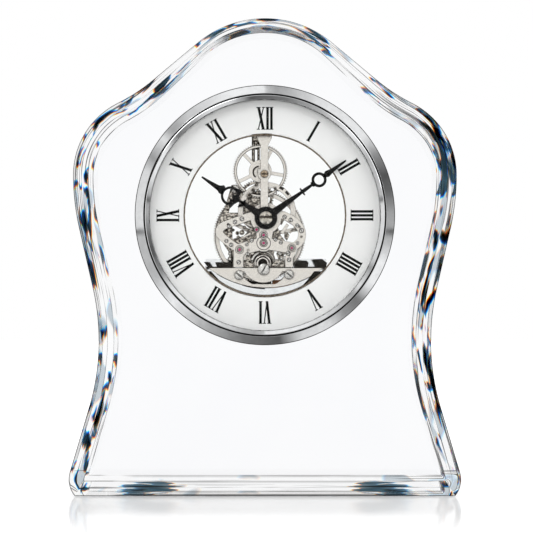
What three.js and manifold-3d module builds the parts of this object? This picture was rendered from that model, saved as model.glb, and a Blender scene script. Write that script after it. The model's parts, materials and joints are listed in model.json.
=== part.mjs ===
// Crystal mantel clock: a bored block of clear glass that holds a round insert with an open
// quartz movement, in millimetres. +Z is up, the dial faces -Y, and the origin is the middle
// of the footprint on the table. The insert and the movement are each built round their own axis.
import * as THREE from "three";
import { mergeVertices } from "three/addons/utils/BufferGeometryUtils.js";
import Module from "manifold-3d";

const wasm = await Module();
wasm.setup();

// Crystal body: one half of its outline runs from the crown down to the table
const BODY_HEIGHT = 240;
const BODY_DEPTH = 44;
const CROWN_RADIUS = 52.8;
const CROWN_SLOPE = 39.85;
const ROOF_LENGTH = 28.9;
const NECK_RADIUS = 94.1;
const NECK_SLOPE = 26.66;
const SHOULDER_RADIUS = 40.4;
const FLANK_RADIUS = 120.2;
const FLANK_SLOPE = 102.84;
const FLANK_LENGTH = 31.1;
const WAIST_RADIUS = 117.7;
const SKIRT_SLOPE = 73.51;
const FOOT_RADIUS = 13;
const FOOT_RISE = 8.27;
const CROWN_BEVEL = 4.6;
const SIDE_BEVEL = 8.2;
const BEVEL_SPREAD = 55;
const BEVEL_DEPTH = 5;
const BORE_RADIUS = 61;
const INSERT_HEIGHT = 141;

// The hands' axis sits a little low and right of the middle of the insert
const HUB_X = 0.5;
const HUB_Z = -1.3;

// Fits: the gap between pieces that touch, and the wall round a turning pivot
const FIT = 0.3;
const PIVOT_FIT = 0.3;

// Insert: bezel, glasses, case and dial
const BEZEL_RADIUS = 65;
const BEZEL_STAND = 4;
const BEZEL_CREST_RADIUS = 60;
const BEZEL_OPENING = 57.7;
const BEZEL_SKIRT = 4;
const GASKET_WALL = 0.6;
const CASE_WALL = 0.9;
const GLASS_THICKNESS = 1.8;
const DIAL_DEPTH = 6;
const DIAL_THICKNESS = 1;
const APERTURE_RADIUS = 40.2;
const APERTURE_RIM = 0.8;
const APERTURE_RIM_DEPTH = 1.1;
const REAR_RING_RADIUS = 64;
const REAR_RING_LIP = 2.1;
const REAR_RING_THICKNESS = 2;
const REAR_WINDOW_THICKNESS = 2;

// Layers of the movement, from the dial backwards
const PLATE_THICKNESS = 1.2;
const WHEEL_THICKNESS = 0.8;
const LAYER_GAP = 0.45;
const HAND_THICKNESS = 0.5;
const HAND_GAP = 0.9;

// Wheels: tooth counts, one module for the train and one for the motion work
const TRAIN_MODULE = 0.4;
const MOTION_MODULE = 0.43;
const CENTRE_TEETH = 37;
const CENTRE_PINION_TEETH = 15;
const CANNON_TEETH = 10;
const MINUTE_WHEEL_TEETH = 30;
const MINUTE_PINION_TEETH = 8;
const HOUR_TEETH = 32;
const IDLER_TEETH = 43;
const TOP_GEAR_TEETH = 25;
const TOP_TEETH = 68;
const FLY_TEETH = 10;
const GREAT_TEETH = 116;
const GREAT_PINION_TEETH = 10;
const BARREL_TEETH = 55;
const MOTOR_TEETH = 8;
const TOOTH_ADDENDUM = 0.85;
const TOOTH_DEDENDUM = 1.5;
const TOOTH_TIP_SHARE = 0.075;

// Places of the arbors round the hands' axis, as a distance and a clock angle
const TOP_DISTANCE = 24.1;
const TOP_ANGLE = -6.8;
const GREAT_ANGLE = 200.5;
const BARREL_ANGLE = 170;
const MINUTE_ARBOR_ANGLE = 187.7;
const FLY_ANGLE = 235;
const MOTOR_ANGLE = 180;
const ARBOR_RADIUS = 0.8;
const PIVOT_RADIUS = 0.5;

// Hands, set at nine minutes past ten
const MINUTE_ANGLE = 54.4;
const HOUR_ANGLE = 302.6;
const MINUTE_LENGTH = 49.5;
const HOUR_LENGTH = 38.2;
const HAND_HUB_RADIUS = 5.7;

// Posts, bridges and platform
const POST_WIDTH = 3.9;
const POST_FLARE_WIDTH = 7.5;
const POST_LOBE_RADIUS = 3.3;
const POST_LOBE_HEIGHT = 22.2;
const HUB_DISC_RADIUS = 7.8;
const RING_RADIUS = 14.7;
const RING_WIDTH = 2.7;
const RING_X = 0.45;
const RING_Z = 3.6;
const PLATFORM_TOP = -25.1;
const PLATFORM_HALF_WIDTH = 29;
const PLATFORM_SAG = 10;
const BASE_TOP = -20.4;
const DRUM_MOUTH = 2.3;
const LOBE_RADIUS = 11;
const WINDOW_LEFT = -11.1;
const WINDOW_RIGHT = 9.8;
const WINDOW_FOOT = -33.2;
const WINDOW_BAND = 1.8;
const WINDOW_ROUNDING = 13.4;
const PILLAR_RADIUS = 1.3;

// Battery: one AAA cell behind the dial
const CELL_RADIUS = 5.25;
const CELL_LENGTH = 44.5;
const HOLDER_WALL = 0.8;

const rad = THREE.MathUtils.degToRad;
const TURN = 2 * Math.PI;
const ROUND_STEPS = 60;
const HIDDEN_STEPS = 40;

const clock = new THREE.Group();
const insert = new THREE.Group();
insert.position.z = INSERT_HEIGHT;
clock.add(insert);
const movement = new THREE.Group();
movement.position.set(HUB_X, 0, HUB_Z);
insert.add(movement);

// Finishes, with the colour, roughness and metalness seen on the real pieces
const crystal = { color: 0xf4f9fb, roughness: 0.02, metalness: 0, transparent: true, opacity: 0.35 };
const clear = { color: 0xf2f6f8, roughness: 0.03, metalness: 0, transparent: true, opacity: 0.3 };
const chrome = { color: 0xd6d8da, roughness: 0.1, metalness: 1 };
const nickel = { color: 0xc8c0b6, roughness: 0.35, metalness: 1 };
const steel = { color: 0xb9b6b1, roughness: 0.25, metalness: 1 };
const dialWhite = { color: 0xe6e9ea, roughness: 0.4, metalness: 0.3 };
const bronze = { color: 0x6d5f50, roughness: 0.35, metalness: 1 };
const blackLacquer = { color: 0x0c0c0d, roughness: 0.35, metalness: 0.2 };
const paleGold = { color: 0xd9c8a4, roughness: 0.15, metalness: 1 };
const ruby = { color: 0xb01346, roughness: 0.15, metalness: 0 };
const copper = { color: 0xb4693c, roughness: 0.4, metalness: 1 };
const blackPlastic = { color: 0x1a1a1b, roughness: 0.5, metalness: 0 };
const whiteVinyl = { color: 0xe9e9e6, roughness: 0.6, metalness: 0 };
const cellJacket = { color: 0x55585c, roughness: 0.4, metalness: 0.5 };

function add(name, geometry, finish, parent = movement) {
  const mesh = new THREE.Mesh(geometry, new THREE.MeshStandardMaterial(finish));
  mesh.name = name;
  parent.add(mesh);
  return mesh;
}

// Solids and booleans

function solid(geometry) {
  const flat = geometry.index ? geometry.toNonIndexed() : geometry;
  const bare = new THREE.BufferGeometry();
  bare.setAttribute("position", flat.getAttribute("position"));
  const merged = mergeVertices(bare, 1e-4);
  const vertProperties = merged.attributes.position.array;
  const triVerts = new Uint32Array(merged.index.array);
  return new wasm.Manifold(new wasm.Mesh({ numProp: 3, vertProperties, triVerts }));
}

function geometryOf(made) {
  const mesh = made.getMesh();
  const geometry = new THREE.BufferGeometry();
  geometry.setAttribute("position", new THREE.BufferAttribute(mesh.vertProperties, 3));
  geometry.setIndex(new THREE.BufferAttribute(mesh.triVerts, 1));
  geometry.computeVertexNormals();
  return geometry;
}

function join(...geometries) {
  return geometryOf(geometries.map(solid).reduce((a, b) => a.add(b)));
}

function cut(geometry, ...tools) {
  return geometryOf(tools.map(solid).reduce((a, b) => a.subtract(b), solid(geometry)));
}

// A flat outline in the clock's own plane, carried from one depth to another
function slab(outline, front, back, holes = []) {
  const clockwise = THREE.ShapeUtils.isClockWise(outline);
  const shape = new THREE.Shape(clockwise ? [...outline].reverse() : outline);
  shape.holes = holes.map((hole) => new THREE.Path(hole));
  const geometry = new THREE.ExtrudeGeometry(shape, { depth: back - front, bevelEnabled: false });
  return geometry.rotateX(Math.PI / 2).translate(0, back, 0);
}

// A profile of [radius, depth] pairs turned round an axis that runs from front to back
function turned(profile, centre = [0, 0], steps = ROUND_STEPS) {
  const onAxis = profile[0][0] === 0 && profile.at(-1)[0] === 0;
  const points = profile.map(([r, y]) => new THREE.Vector2(r, y));
  let area = 0;
  points.forEach((p, i) => {
    area += p.cross(points[(i + 1) % points.length]);
  });
  if (area < 0) points.reverse();
  if (!onAxis) points.push(points[0].clone());
  return new THREE.LatheGeometry(points, steps).translate(centre[0], 0, centre[1]);
}

function disc(radius, front, back, centre, steps = 16) {
  return turned([[0, front], [radius, front], [radius, back], [0, back]], centre, steps);
}

function ring(inner, outer, front, back, centre = [0, 0], steps = ROUND_STEPS) {
  return turned([[inner, front], [outer, front], [outer, back], [inner, back]], centre, steps);
}

function block(x0, x1, y0, y1, z0, z1) {
  const geometry = new THREE.BoxGeometry(x1 - x0, y1 - y0, z1 - z0);
  return geometry.translate((x0 + x1) / 2, (y0 + y1) / 2, (z0 + z1) / 2);
}

// Plane geometry: points are [x, z] pairs round the hands' axis, clock angles run from 12

function polar(distance, degrees, centre = [0, 0]) {
  const a = rad(degrees);
  return [centre[0] + distance * Math.sin(a), centre[1] + distance * Math.cos(a)];
}

function clockAngle(from, to) {
  return Math.atan2(to[0] - from[0], to[1] - from[1]);
}

function vectors(points) {
  return points.map(([x, z]) => new THREE.Vector2(x, z));
}

function circle(radius, centre = [0, 0], steps = 16) {
  const points = [];
  for (let i = 0; i < steps; i++) points.push(polar(radius, (-360 * i) / steps, centre));
  return vectors(points);
}

// The place at one distance from one point and another distance from a second point,
// on the left of the line from the first to the second
function placeBetween(first, fromFirst, second, fromSecond) {
  const dx = second[0] - first[0];
  const dz = second[1] - first[1];
  const span = Math.hypot(dx, dz);
  const along = (fromFirst ** 2 - fromSecond ** 2 + span ** 2) / (2 * span);
  const aside = Math.sqrt(fromFirst ** 2 - along ** 2);
  const ux = dx / span;
  const uz = dz / span;
  return [first[0] + along * ux - aside * uz, first[1] + along * uz + aside * ux];
}

// Two circles and the straight tangents between them
function arm(a, radiusA, b, radiusB, front, back) {
  const angle = clockAngle(a, b);
  const lean = Math.acos((radiusA - radiusB) / Math.hypot(b[0] - a[0], b[1] - a[1]));
  const steps = 6;
  const points = [];
  for (let i = 0; i <= steps; i++) {
    const t = angle - lean - ((TURN - 2 * lean) * i) / steps;
    points.push([a[0] + radiusA * Math.sin(t), a[1] + radiusA * Math.cos(t)]);
  }
  for (let i = 0; i <= steps; i++) {
    const t = angle + lean - (2 * lean * i) / steps;
    points.push([b[0] + radiusB * Math.sin(t), b[1] + radiusB * Math.cos(t)]);
  }
  return slab(vectors(points), front, back);
}

// A strip of one width, or of a width that runs from one value to another, on a smooth path
function ribbon(path, widthFrom, widthTo, front, back, steps = 16) {
  const curve = new THREE.SplineCurve(vectors(path));
  const left = [];
  const right = [];
  for (let i = 0; i <= steps; i++) {
    const at = curve.getPoint(i / steps);
    const along = curve.getTangent(i / steps);
    const half = (widthFrom + ((widthTo - widthFrom) * i) / steps) / 2;
    left.push([at.x - along.y * half, at.y + along.x * half]);
    right.push([at.x + along.y * half, at.y - along.x * half]);
  }
  return slab(vectors([...left, ...right.reverse()]), front, back);
}

// Crystal body

// Half of the outline moved inwards by one distance: convex arcs shrink, hollow ones grow
function halfOutline(inset) {
  const step = 4;
  const points = [[0, BODY_HEIGHT - inset]];
  let slope = 0;
  const arc = (radius, toSlope, count = Math.ceil(Math.abs(toSlope - slope) / step)) => {
    const swept = (radius - Math.sign(toSlope - slope) * inset) * Math.sign(toSlope - slope);
    const from = slope;
    const [x0, z0] = points.at(-1);
    for (let i = 1; i <= count; i++) {
      const t = rad(from + ((toSlope - from) * i) / count);
      const across = Math.sin(t) - Math.sin(rad(from));
      const down = Math.cos(rad(from)) - Math.cos(t);
      points.push([x0 + swept * across, z0 - swept * down]);
    }
    slope = toSlope;
  };
  const line = (length) => {
    const [x, z] = points.at(-1);
    points.push([x + length * Math.cos(rad(slope)), z - length * Math.sin(rad(slope))]);
  };
  arc(CROWN_RADIUS, CROWN_SLOPE);
  line(ROOF_LENGTH);
  arc(NECK_RADIUS, NECK_SLOPE);
  arc(SHOULDER_RADIUS, 90);
  arc(FLANK_RADIUS, FLANK_SLOPE);
  line(FLANK_LENGTH);
  arc(WAIST_RADIUS, SKIRT_SLOPE);
  const footRadius = FOOT_RADIUS - inset;
  const skirtEnd = FOOT_RISE + footRadius * Math.cos(rad(SKIRT_SLOPE));
  line((points.at(-1)[1] - skirtEnd) / Math.sin(rad(SKIRT_SLOPE)));
  const footEnd = THREE.MathUtils.radToDeg(Math.acos((inset - FOOT_RISE) / footRadius));
  arc(FOOT_RADIUS, footEnd, 8);
  return points;
}

function fullOutline(inset) {
  const right = halfOutline(inset);
  const left = right.slice(1).map(([x, z]) => [-x, z]);
  return [...right, ...left.reverse()];
}

// The bevel is narrow at the crown and widens to its full width at the shoulders
function bevelOutline() {
  const wide = fullOutline(SIDE_BEVEL);
  return fullOutline(CROWN_BEVEL).map(([x, z], i) => {
    const share = THREE.MathUtils.smoothstep(BODY_HEIGHT - z, 0, BEVEL_SPREAD);
    return [x + (wide[i][0] - x) * share, z + (wide[i][1] - z) * share];
  });
}

function crystalBody() {
  const half = BODY_DEPTH / 2;
  const outline = fullOutline(0);
  const sections = [
    [-half, bevelOutline()],
    [-half + BEVEL_DEPTH, outline],
    [half - BEVEL_DEPTH, outline],
    [half, bevelOutline()],
  ];
  const bore = [];
  for (let i = 0; i < ROUND_STEPS; i++) {
    bore.push(polar(BORE_RADIUS, (360 * i) / ROUND_STEPS, [0, INSERT_HEIGHT]));
  }
  const positions = [];
  const index = [];
  const loops = sections.map(([y, points]) => [y, points]);
  loops.push([-half, bore], [half, bore]);
  const starts = loops.map(([y, points]) => {
    const start = positions.length / 3;
    points.forEach(([x, z]) => positions.push(x, y, z));
    return start;
  });
  const band = (a, b, count, flip) => {
    for (let i = 0; i < count; i++) {
      const j = (i + 1) % count;
      const quad = [a + i, a + j, b + j, b + i];
      if (flip) quad.reverse();
      index.push(quad[0], quad[1], quad[2], quad[0], quad[2], quad[3]);
    }
  };
  for (let s = 0; s < 3; s++) band(starts[s], starts[s + 1], outline.length, false);
  band(starts[4], starts[5], bore.length, true);
  const cap = (rim, rimStart, boreStart, flip) => {
    const faces = THREE.ShapeUtils.triangulateShape(vectors(rim), [vectors(bore)]);
    const at = (i) => (i < rim.length ? rimStart + i : boreStart + i - rim.length);
    faces.forEach(([a, b, c]) => index.push(at(a), at(flip ? c : b), at(flip ? b : c)));
  };
  cap(sections[0][1], starts[0], starts[4], false);
  cap(sections[3][1], starts[3], starts[5], true);
  const geometry = new THREE.BufferGeometry();
  geometry.setAttribute("position", new THREE.Float32BufferAttribute(positions, 3));
  geometry.setIndex(index);
  if (solidVolume(geometry) < 0) {
    for (let i = 0; i < index.length; i += 3) [index[i], index[i + 1]] = [index[i + 1], index[i]];
    geometry.setIndex(index);
  }
  geometry.computeVertexNormals();
  return geometry;
}

function solidVolume(geometry) {
  const p = geometry.attributes.position;
  const [a, b, c] = [new THREE.Vector3(), new THREE.Vector3(), new THREE.Vector3()];
  let volume = 0;
  for (let i = 0; i < geometry.index.count; i += 3) {
    a.fromBufferAttribute(p, geometry.index.getX(i));
    b.fromBufferAttribute(p, geometry.index.getX(i + 1));
    c.fromBufferAttribute(p, geometry.index.getX(i + 2));
    volume += a.dot(b.cross(c)) / 6;
  }
  return volume;
}

add("crystal_body", crystalBody(), crystal, clock);

// Depths of the insert, front faces negative
const faceY = -BODY_DEPTH / 2;
const rearY = BODY_DEPTH / 2;
const caseRadius = BORE_RADIUS - GASKET_WALL - 2 * FIT;
const caseInner = caseRadius - CASE_WALL;
const innerRadius = caseInner - FIT;
const bezelBack = faceY - FIT;
const bezelFront = bezelBack - BEZEL_STAND;
const skirtEnd = faceY + BEZEL_SKIRT;
const glassBack = bezelBack + FIT * 0.5;
const glassFront = glassBack - GLASS_THICKNESS;
const dialFront = faceY + DIAL_DEPTH;
const dialBack = dialFront + DIAL_THICKNESS;

// Case, bezel and glasses

function bezel() {
  const lipBack = glassFront - FIT;
  return turned([
    [BEZEL_RADIUS, bezelBack],
    [BEZEL_RADIUS, bezelBack - 0.9],
    [BEZEL_CREST_RADIUS + 0.4, bezelFront],
    [BEZEL_CREST_RADIUS, bezelFront],
    [BEZEL_CREST_RADIUS - 0.3, bezelFront + 0.9],
    [BEZEL_OPENING, lipBack - 0.7],
    [BEZEL_OPENING, lipBack],
    [caseInner, lipBack],
    [caseInner, skirtEnd],
    [caseRadius, skirtEnd],
    [caseRadius, bezelBack],
  ]);
}

function rearRing() {
  const lipFront = rearY - REAR_RING_LIP + 1;
  return turned([
    [innerRadius - REAR_RING_LIP, lipFront],
    [innerRadius, lipFront],
    [innerRadius, rearY + FIT],
    [REAR_RING_RADIUS, rearY + FIT],
    [REAR_RING_RADIUS, rearY + FIT + REAR_RING_THICKNESS - 0.7],
    [REAR_RING_RADIUS - 0.7, rearY + FIT + REAR_RING_THICKNESS],
    [innerRadius - REAR_RING_LIP, rearY + FIT + REAR_RING_THICKNESS],
  ]);
}

const windowBack = rearY - REAR_RING_LIP + 1 - FIT;
const windowFront = windowBack - REAR_WINDOW_THICKNESS;

const rehaut = ring(BEZEL_OPENING, innerRadius, glassBack + FIT, dialFront - FIT);
const dial = ring(APERTURE_RADIUS + APERTURE_RIM + FIT, innerRadius, dialFront, dialBack);
const rimFront = dialFront - 0.2;
const apertureRim = ring(APERTURE_RADIUS, APERTURE_RADIUS + APERTURE_RIM, rimFront,
  rimFront + APERTURE_RIM_DEPTH);
const wall = ring(caseInner, caseRadius, skirtEnd + FIT, rearY, [0, 0], HIDDEN_STEPS);
const gasket = ring(caseRadius + FIT, BORE_RADIUS - FIT, faceY + FIT, rearY, [0, 0], HIDDEN_STEPS);
add("bezel", bezel(), chrome, insert);
add("front_glass", disc(innerRadius, glassFront, glassBack, [0, 0], ROUND_STEPS), clear, insert);
add("rehaut_ring", rehaut, chrome, insert);
add("dial_ring", dial, dialWhite, insert);
add("aperture_rim", apertureRim, bronze, insert);
add("case_wall", wall, steel, insert);
add("gasket", gasket, whiteVinyl, insert);
add("rear_ring", rearRing(), chrome, insert);

// Arbors: the centre arbor is the axis of the hands

const centre = [0, 0];
const train = (a, b) => ((a + b) * TRAIN_MODULE) / 2;
const motion = (a, b) => ((a + b) * MOTION_MODULE) / 2;
const top = polar(TOP_DISTANCE, TOP_ANGLE);
const idler = placeBetween(
  centre, train(CENTRE_PINION_TEETH, IDLER_TEETH), top, train(IDLER_TEETH, TOP_GEAR_TEETH));
const great = polar(train(CENTRE_TEETH, GREAT_PINION_TEETH), GREAT_ANGLE);
const barrel = polar(train(GREAT_PINION_TEETH, BARREL_TEETH), BARREL_ANGLE, great);
const minuteArbor = polar(motion(CANNON_TEETH, MINUTE_WHEEL_TEETH), MINUTE_ARBOR_ANGLE);
const fly = polar(train(TOP_TEETH, FLY_TEETH), FLY_ANGLE, top);
const motor = polar(train(GREAT_TEETH, MOTOR_TEETH), MOTOR_ANGLE, great);

// Depths of the layers: plates and wheels follow each other behind the dial
const layer = (front, thickness) => ({ front, back: front + thickness });
const next = (above, thickness, gap = LAYER_GAP) => layer(above.back + gap, thickness);
const postLayer = layer(dialBack + FIT, PLATE_THICKNESS);
const bridgeLayer = next(postLayer, PLATE_THICKNESS, FIT);
const hourLayer = next(bridgeLayer, WHEEL_THICKNESS);
const minuteLayer = next(hourLayer, WHEEL_THICKNESS);
const ringLayer = next(minuteLayer, WHEEL_THICKNESS);
const centreLayer = next(ringLayer, WHEEL_THICKNESS);
const topLayer = next(centreLayer, WHEEL_THICKNESS);
const idlerLayer = next(topLayer, WHEEL_THICKNESS);
const rearLayer = next(idlerLayer, PLATE_THICKNESS);
const greatLayer = next(rearLayer, WHEEL_THICKNESS, 0.6);
const cockLayer = next(greatLayer, PLATE_THICKNESS);

// Toothed wheels

function toothOutline(teeth, module, phase, at) {
  const pitch = TURN / teeth;
  const root = (teeth * module) / 2 - TOOTH_DEDENDUM * module;
  const tip = (teeth * module) / 2 + TOOTH_ADDENDUM * module;
  const points = [];
  for (let i = 0; i < teeth; i++) {
    const middle = phase - i * pitch;
    const flank = [[root, 0.5], [tip, TOOTH_TIP_SHARE], [tip, -TOOTH_TIP_SHARE]];
    flank.forEach(([radius, share]) => {
      const t = middle + share * pitch;
      points.push([at[0] + radius * Math.sin(t), at[1] + radius * Math.cos(t)]);
    });
  }
  return vectors(points);
}

// The windows between a wheel's spokes
function spokeWindows(count, spokeWidth, hubRadius, rimRadius, phase, at) {
  const windows = [];
  const steps = 6;
  for (let k = 0; k < count; k++) {
    const from = phase + (k * TURN) / count;
    const to = from + TURN / count;
    const points = [];
    [[rimRadius, from, to], [hubRadius, to, from]].forEach(([radius, a, b]) => {
      const lean = Math.sign(b - a) * Math.asin(spokeWidth / 2 / radius);
      for (let i = 0; i <= steps; i++) {
        const t = a + lean + ((b - a - 2 * lean) * i) / steps;
        points.push([at[0] + radius * Math.sin(t), at[1] + radius * Math.cos(t)]);
      }
    });
    windows.push(vectors(points));
  }
  return windows;
}

function gear(teeth, module, phase, at, layerOf, boreRadius, windows = []) {
  const holes = [...windows];
  if (boreRadius > 0) holes.push(circle(boreRadius, at, 12));
  return slab(toothOutline(teeth, module, phase, at), layerOf.front, layerOf.back, holes);
}

// The phase that puts a gap of the second wheel over the tooth of the first on their line
function meshPhase(phase, teeth, at, otherTeeth, otherAt) {
  const line = clockAngle(at, otherAt);
  const lead = phase - line;
  return line + Math.PI - (lead * teeth) / otherTeeth + Math.PI / otherTeeth;
}

function pinion(teeth, module, phase, at, front, back, boreRadius = 0) {
  return gear(teeth, module, phase, at, { front, back }, boreRadius);
}

const centrePhase = 0;
const greatPinionPhase = meshPhase(centrePhase, CENTRE_TEETH, centre, GREAT_PINION_TEETH, great);
const barrelPhase = meshPhase(greatPinionPhase, GREAT_PINION_TEETH, great, BARREL_TEETH, barrel);
const idlerPhase = meshPhase(0, CENTRE_PINION_TEETH, centre, IDLER_TEETH, idler);
const topGearPhase = meshPhase(idlerPhase, IDLER_TEETH, idler, TOP_GEAR_TEETH, top);
const flyPhase = meshPhase(0, TOP_TEETH, top, FLY_TEETH, fly);
const motorPhase = meshPhase(0, GREAT_TEETH, great, MOTOR_TEETH, motor);
const minuteWheelPhase = meshPhase(0, CANNON_TEETH, centre, MINUTE_WHEEL_TEETH, minuteArbor);
const hourPhase = meshPhase(0, MINUTE_PINION_TEETH, minuteArbor, HOUR_TEETH, centre);

// Depths of the hands
const hourHandLayer = layer(dialFront - HAND_GAP - HAND_THICKNESS, HAND_THICKNESS);
const minuteHandLayer = layer(hourHandLayer.front - HAND_GAP - HAND_THICKNESS, HAND_THICKNESS);
const cannonRadius = 1.3;
const hourTubeBore = cannonRadius + PIVOT_FIT;
const hourTubeRadius = hourTubeBore + 0.7;

// Minute body: arbor with its cannon and centre pinion, centre wheel, hand and cap nut

function minuteArborSolid() {
  const boss = turned([
    [0, minuteHandLayer.front - 0.9],
    [0.9, minuteHandLayer.front - 0.9],
    [0.9, minuteHandLayer.back + 0.1],
    [cannonRadius, minuteHandLayer.back + 0.1],
    [cannonRadius, centreLayer.front],
    [ARBOR_RADIUS, centreLayer.front],
    [ARBOR_RADIUS, rearLayer.front - 0.1],
    [PIVOT_RADIUS, rearLayer.front - 0.1],
    [PIVOT_RADIUS, rearLayer.back - 0.1],
    [0, rearLayer.back - 0.1],
  ], centre, 16);
  return join(
    boss,
    pinion(CANNON_TEETH, MOTION_MODULE, 0, centre, minuteLayer.front, minuteLayer.back),
    pinion(CENTRE_PINION_TEETH, TRAIN_MODULE, 0, centre, idlerLayer.front, idlerLayer.back),
  );
}

// A hand lies along 12 o'clock, is built from slabs and is then turned to its hour
function handGeometry(pieces, holes, angle) {
  return cut(join(...pieces), ...holes).rotateY(rad(angle));
}

function taper(from, halfFrom, to, halfTo, depth) {
  const outline = [[-halfFrom, from], [halfFrom, from], [halfTo, to], [-halfTo, to]];
  return slab(vectors(outline), depth.front, depth.back);
}

// A bar across a hand, or any short rounded stroke between two points
function stroke(a, b, halfWidth, depth, endHalf = halfWidth) {
  return arm(a, halfWidth, b, endHalf, depth.front, depth.back);
}

function minuteHand() {
  const depth = minuteHandLayer;
  const eye = [0, 32.8];
  const pieces = [
    disc(HAND_HUB_RADIUS - 0.5, depth.front, depth.back, centre, 32),
    taper(4, 1.95, 21.7, 0.8, depth),
    taper(21.5, 0.7, 24.2, 1.0, depth),
    taper(24.1, 0.95, 29.8, 0.6, depth),
    stroke([-1.7, 22.5], [1.7, 22.5], 0.42, depth),
    stroke([-0.9, 28.9], [0.9, 28.9], 0.5, depth),
    disc(3.65, depth.front, depth.back, eye, 24),
    stroke([-0.8, 36.8], [0.8, 36.8], 0.5, depth),
    taper(35.9, 0.8, 37.8, 1.75, depth),
    taper(37.7, 1.75, 41, 1.0, depth),
    taper(40.9, 1.0, MINUTE_LENGTH, 0.25, depth),
  ];
  const holes = [
    disc(2.55, depth.front - 1, depth.back + 1, eye, 24),
    disc(0.9 + FIT, depth.front - 1, depth.back + 1, centre, 12),
  ];
  return handGeometry(pieces, holes, MINUTE_ANGLE);
}

// The hour hand's open crescent ends in two scrolls that meet the arm
function hourHand() {
  const depth = hourHandLayer;
  const eye = [-0.4, 21];
  const crescentRadius = 4.2;
  const path = [];
  for (let i = 0; i <= 8; i++) path.push(polar(crescentRadius, -140 + 35 * i, eye));
  const [leftEnd, rightEnd] = [path[0], path.at(-1)];
  const scroll = [0, 19];
  const neck = [0, 16.3];
  const pieces = [
    disc(HAND_HUB_RADIUS, depth.front, depth.back, centre, 32),
    taper(4.5, 1.95, 12, 1.0, depth),
    taper(11.9, 0.9, 16.8, 0.6, depth),
    stroke([0, 12.6], [1.7, 13.6], 0.75, depth, 0.3),
    stroke([0, 12.6], [-1.7, 13.6], 0.75, depth, 0.3),
    ribbon(path, 1.1, 1.1, depth.front, depth.back, 28),
    stroke(neck, scroll, 0.6, depth, 1.1),
    stroke(scroll, [1.2, 18.5], 0.9, depth, 0.7),
    stroke([1.2, 18.5], rightEnd, 0.7, depth, 0.5),
    stroke(neck, [-1.6, 17.3], 0.6, depth, 0.75),
    stroke([-1.6, 17.3], leftEnd, 0.75, depth, 0.5),
    stroke(leftEnd, [-3.3, 19.6], 0.6, depth, 0.4),
    stroke(leftEnd, [-4.8, 17.9], 0.6, depth, 0.25),
    taper(24.9, 1.1, 25.7, 2.35, depth),
    taper(25.6, 2.35, 28.6, 1.15, depth),
    taper(28.5, 1.15, HOUR_LENGTH, 0.25, depth),
  ];
  const holes = [
    disc(hourTubeRadius + FIT, depth.front - 1, depth.back + 1, centre, 16),
  ];
  return handGeometry(pieces, holes, HOUR_ANGLE);
}

function capNut() {
  const seat = minuteHandLayer.front - FIT;
  const profile = [[0, seat - 0.9], [0.9 + FIT, seat - 0.9], [0.9 + FIT, seat], [3.4, seat]];
  const steps = 5;
  for (let i = 1; i <= steps; i++) {
    const t = (90 * i) / steps;
    profile.push([3.4 * Math.cos(rad(t)), seat - 0.4 - 1.3 * Math.sin(rad(t))]);
  }
  profile.at(-1)[0] = 0;
  return turned(profile, centre, 24);
}

add("minute_arbor", minuteArborSolid(), steel);
const centreWindows = spokeWindows(4, 1.2, 2.6, 5.6, rad(20), centre);
add("centre_wheel", gear(CENTRE_TEETH, TRAIN_MODULE, centrePhase, centre, centreLayer,
  ARBOR_RADIUS + FIT, centreWindows), nickel);
add("minute_hand", minuteHand(), blackLacquer);
add("hand_nut", capNut(), paleGold);

// Hour body: wheel and tube in one, with the hand on the tube

function hourWheelSolid() {
  const wheel = gear(HOUR_TEETH, MOTION_MODULE, hourPhase, centre, hourLayer, hourTubeBore);
  const tube = ring(hourTubeBore, hourTubeRadius, hourHandLayer.front - 0.1, hourLayer.back,
    centre, 16);
  return cut(join(wheel, tube), disc(hourTubeBore, hourHandLayer.front - 1, hourLayer.back + 1,
    centre, 16));
}

add("hour_wheel", hourWheelSolid(), nickel);
add("hour_hand", hourHand(), blackLacquer);

// Motion work: the minute wheel carries the pinion that drives the hour wheel

function motionWheelSolid() {
  const windows = spokeWindows(5, 1, 2.4, 5.0, 0, minuteArbor);
  const arbor = turned([
    [0, bridgeLayer.front + 0.1],
    [PIVOT_RADIUS, bridgeLayer.front + 0.1],
    [PIVOT_RADIUS, bridgeLayer.back + 0.1],
    [ARBOR_RADIUS, bridgeLayer.back + 0.1],
    [ARBOR_RADIUS, minuteLayer.back + 0.3],
    [0, minuteLayer.back + 0.3],
  ], minuteArbor, 12);
  return join(
    arbor,
    gear(MINUTE_WHEEL_TEETH, MOTION_MODULE, minuteWheelPhase, minuteArbor, minuteLayer, 0, windows),
    pinion(MINUTE_PINION_TEETH, MOTION_MODULE, 0, minuteArbor, hourLayer.front, minuteLayer.back),
  );
}

add("motion_wheel", motionWheelSolid(), nickel);

// Idler between the centre pinion and the top wheel's gear

function idlerSolid() {
  const windows = spokeWindows(5, 1.2, 2.6, 7, rad(10), idler);
  const arbor = turned([
    [0, idlerLayer.front],
    [ARBOR_RADIUS, idlerLayer.front],
    [ARBOR_RADIUS, rearLayer.front - 0.1],
    [PIVOT_RADIUS, rearLayer.front - 0.1],
    [PIVOT_RADIUS, rearLayer.back - 0.1],
    [0, rearLayer.back - 0.1],
  ], idler, 12);
  return join(arbor, gear(IDLER_TEETH, TRAIN_MODULE, idlerPhase, idler, idlerLayer, 0, windows));
}

add("idler_wheel", idlerSolid(), nickel);

// Top wheel: five spokes, on an arbor that runs out of the back to the setting knob

const knobEnd = -bezelFront;
const knobFront = rearY + FIT + 0.2;

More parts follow.
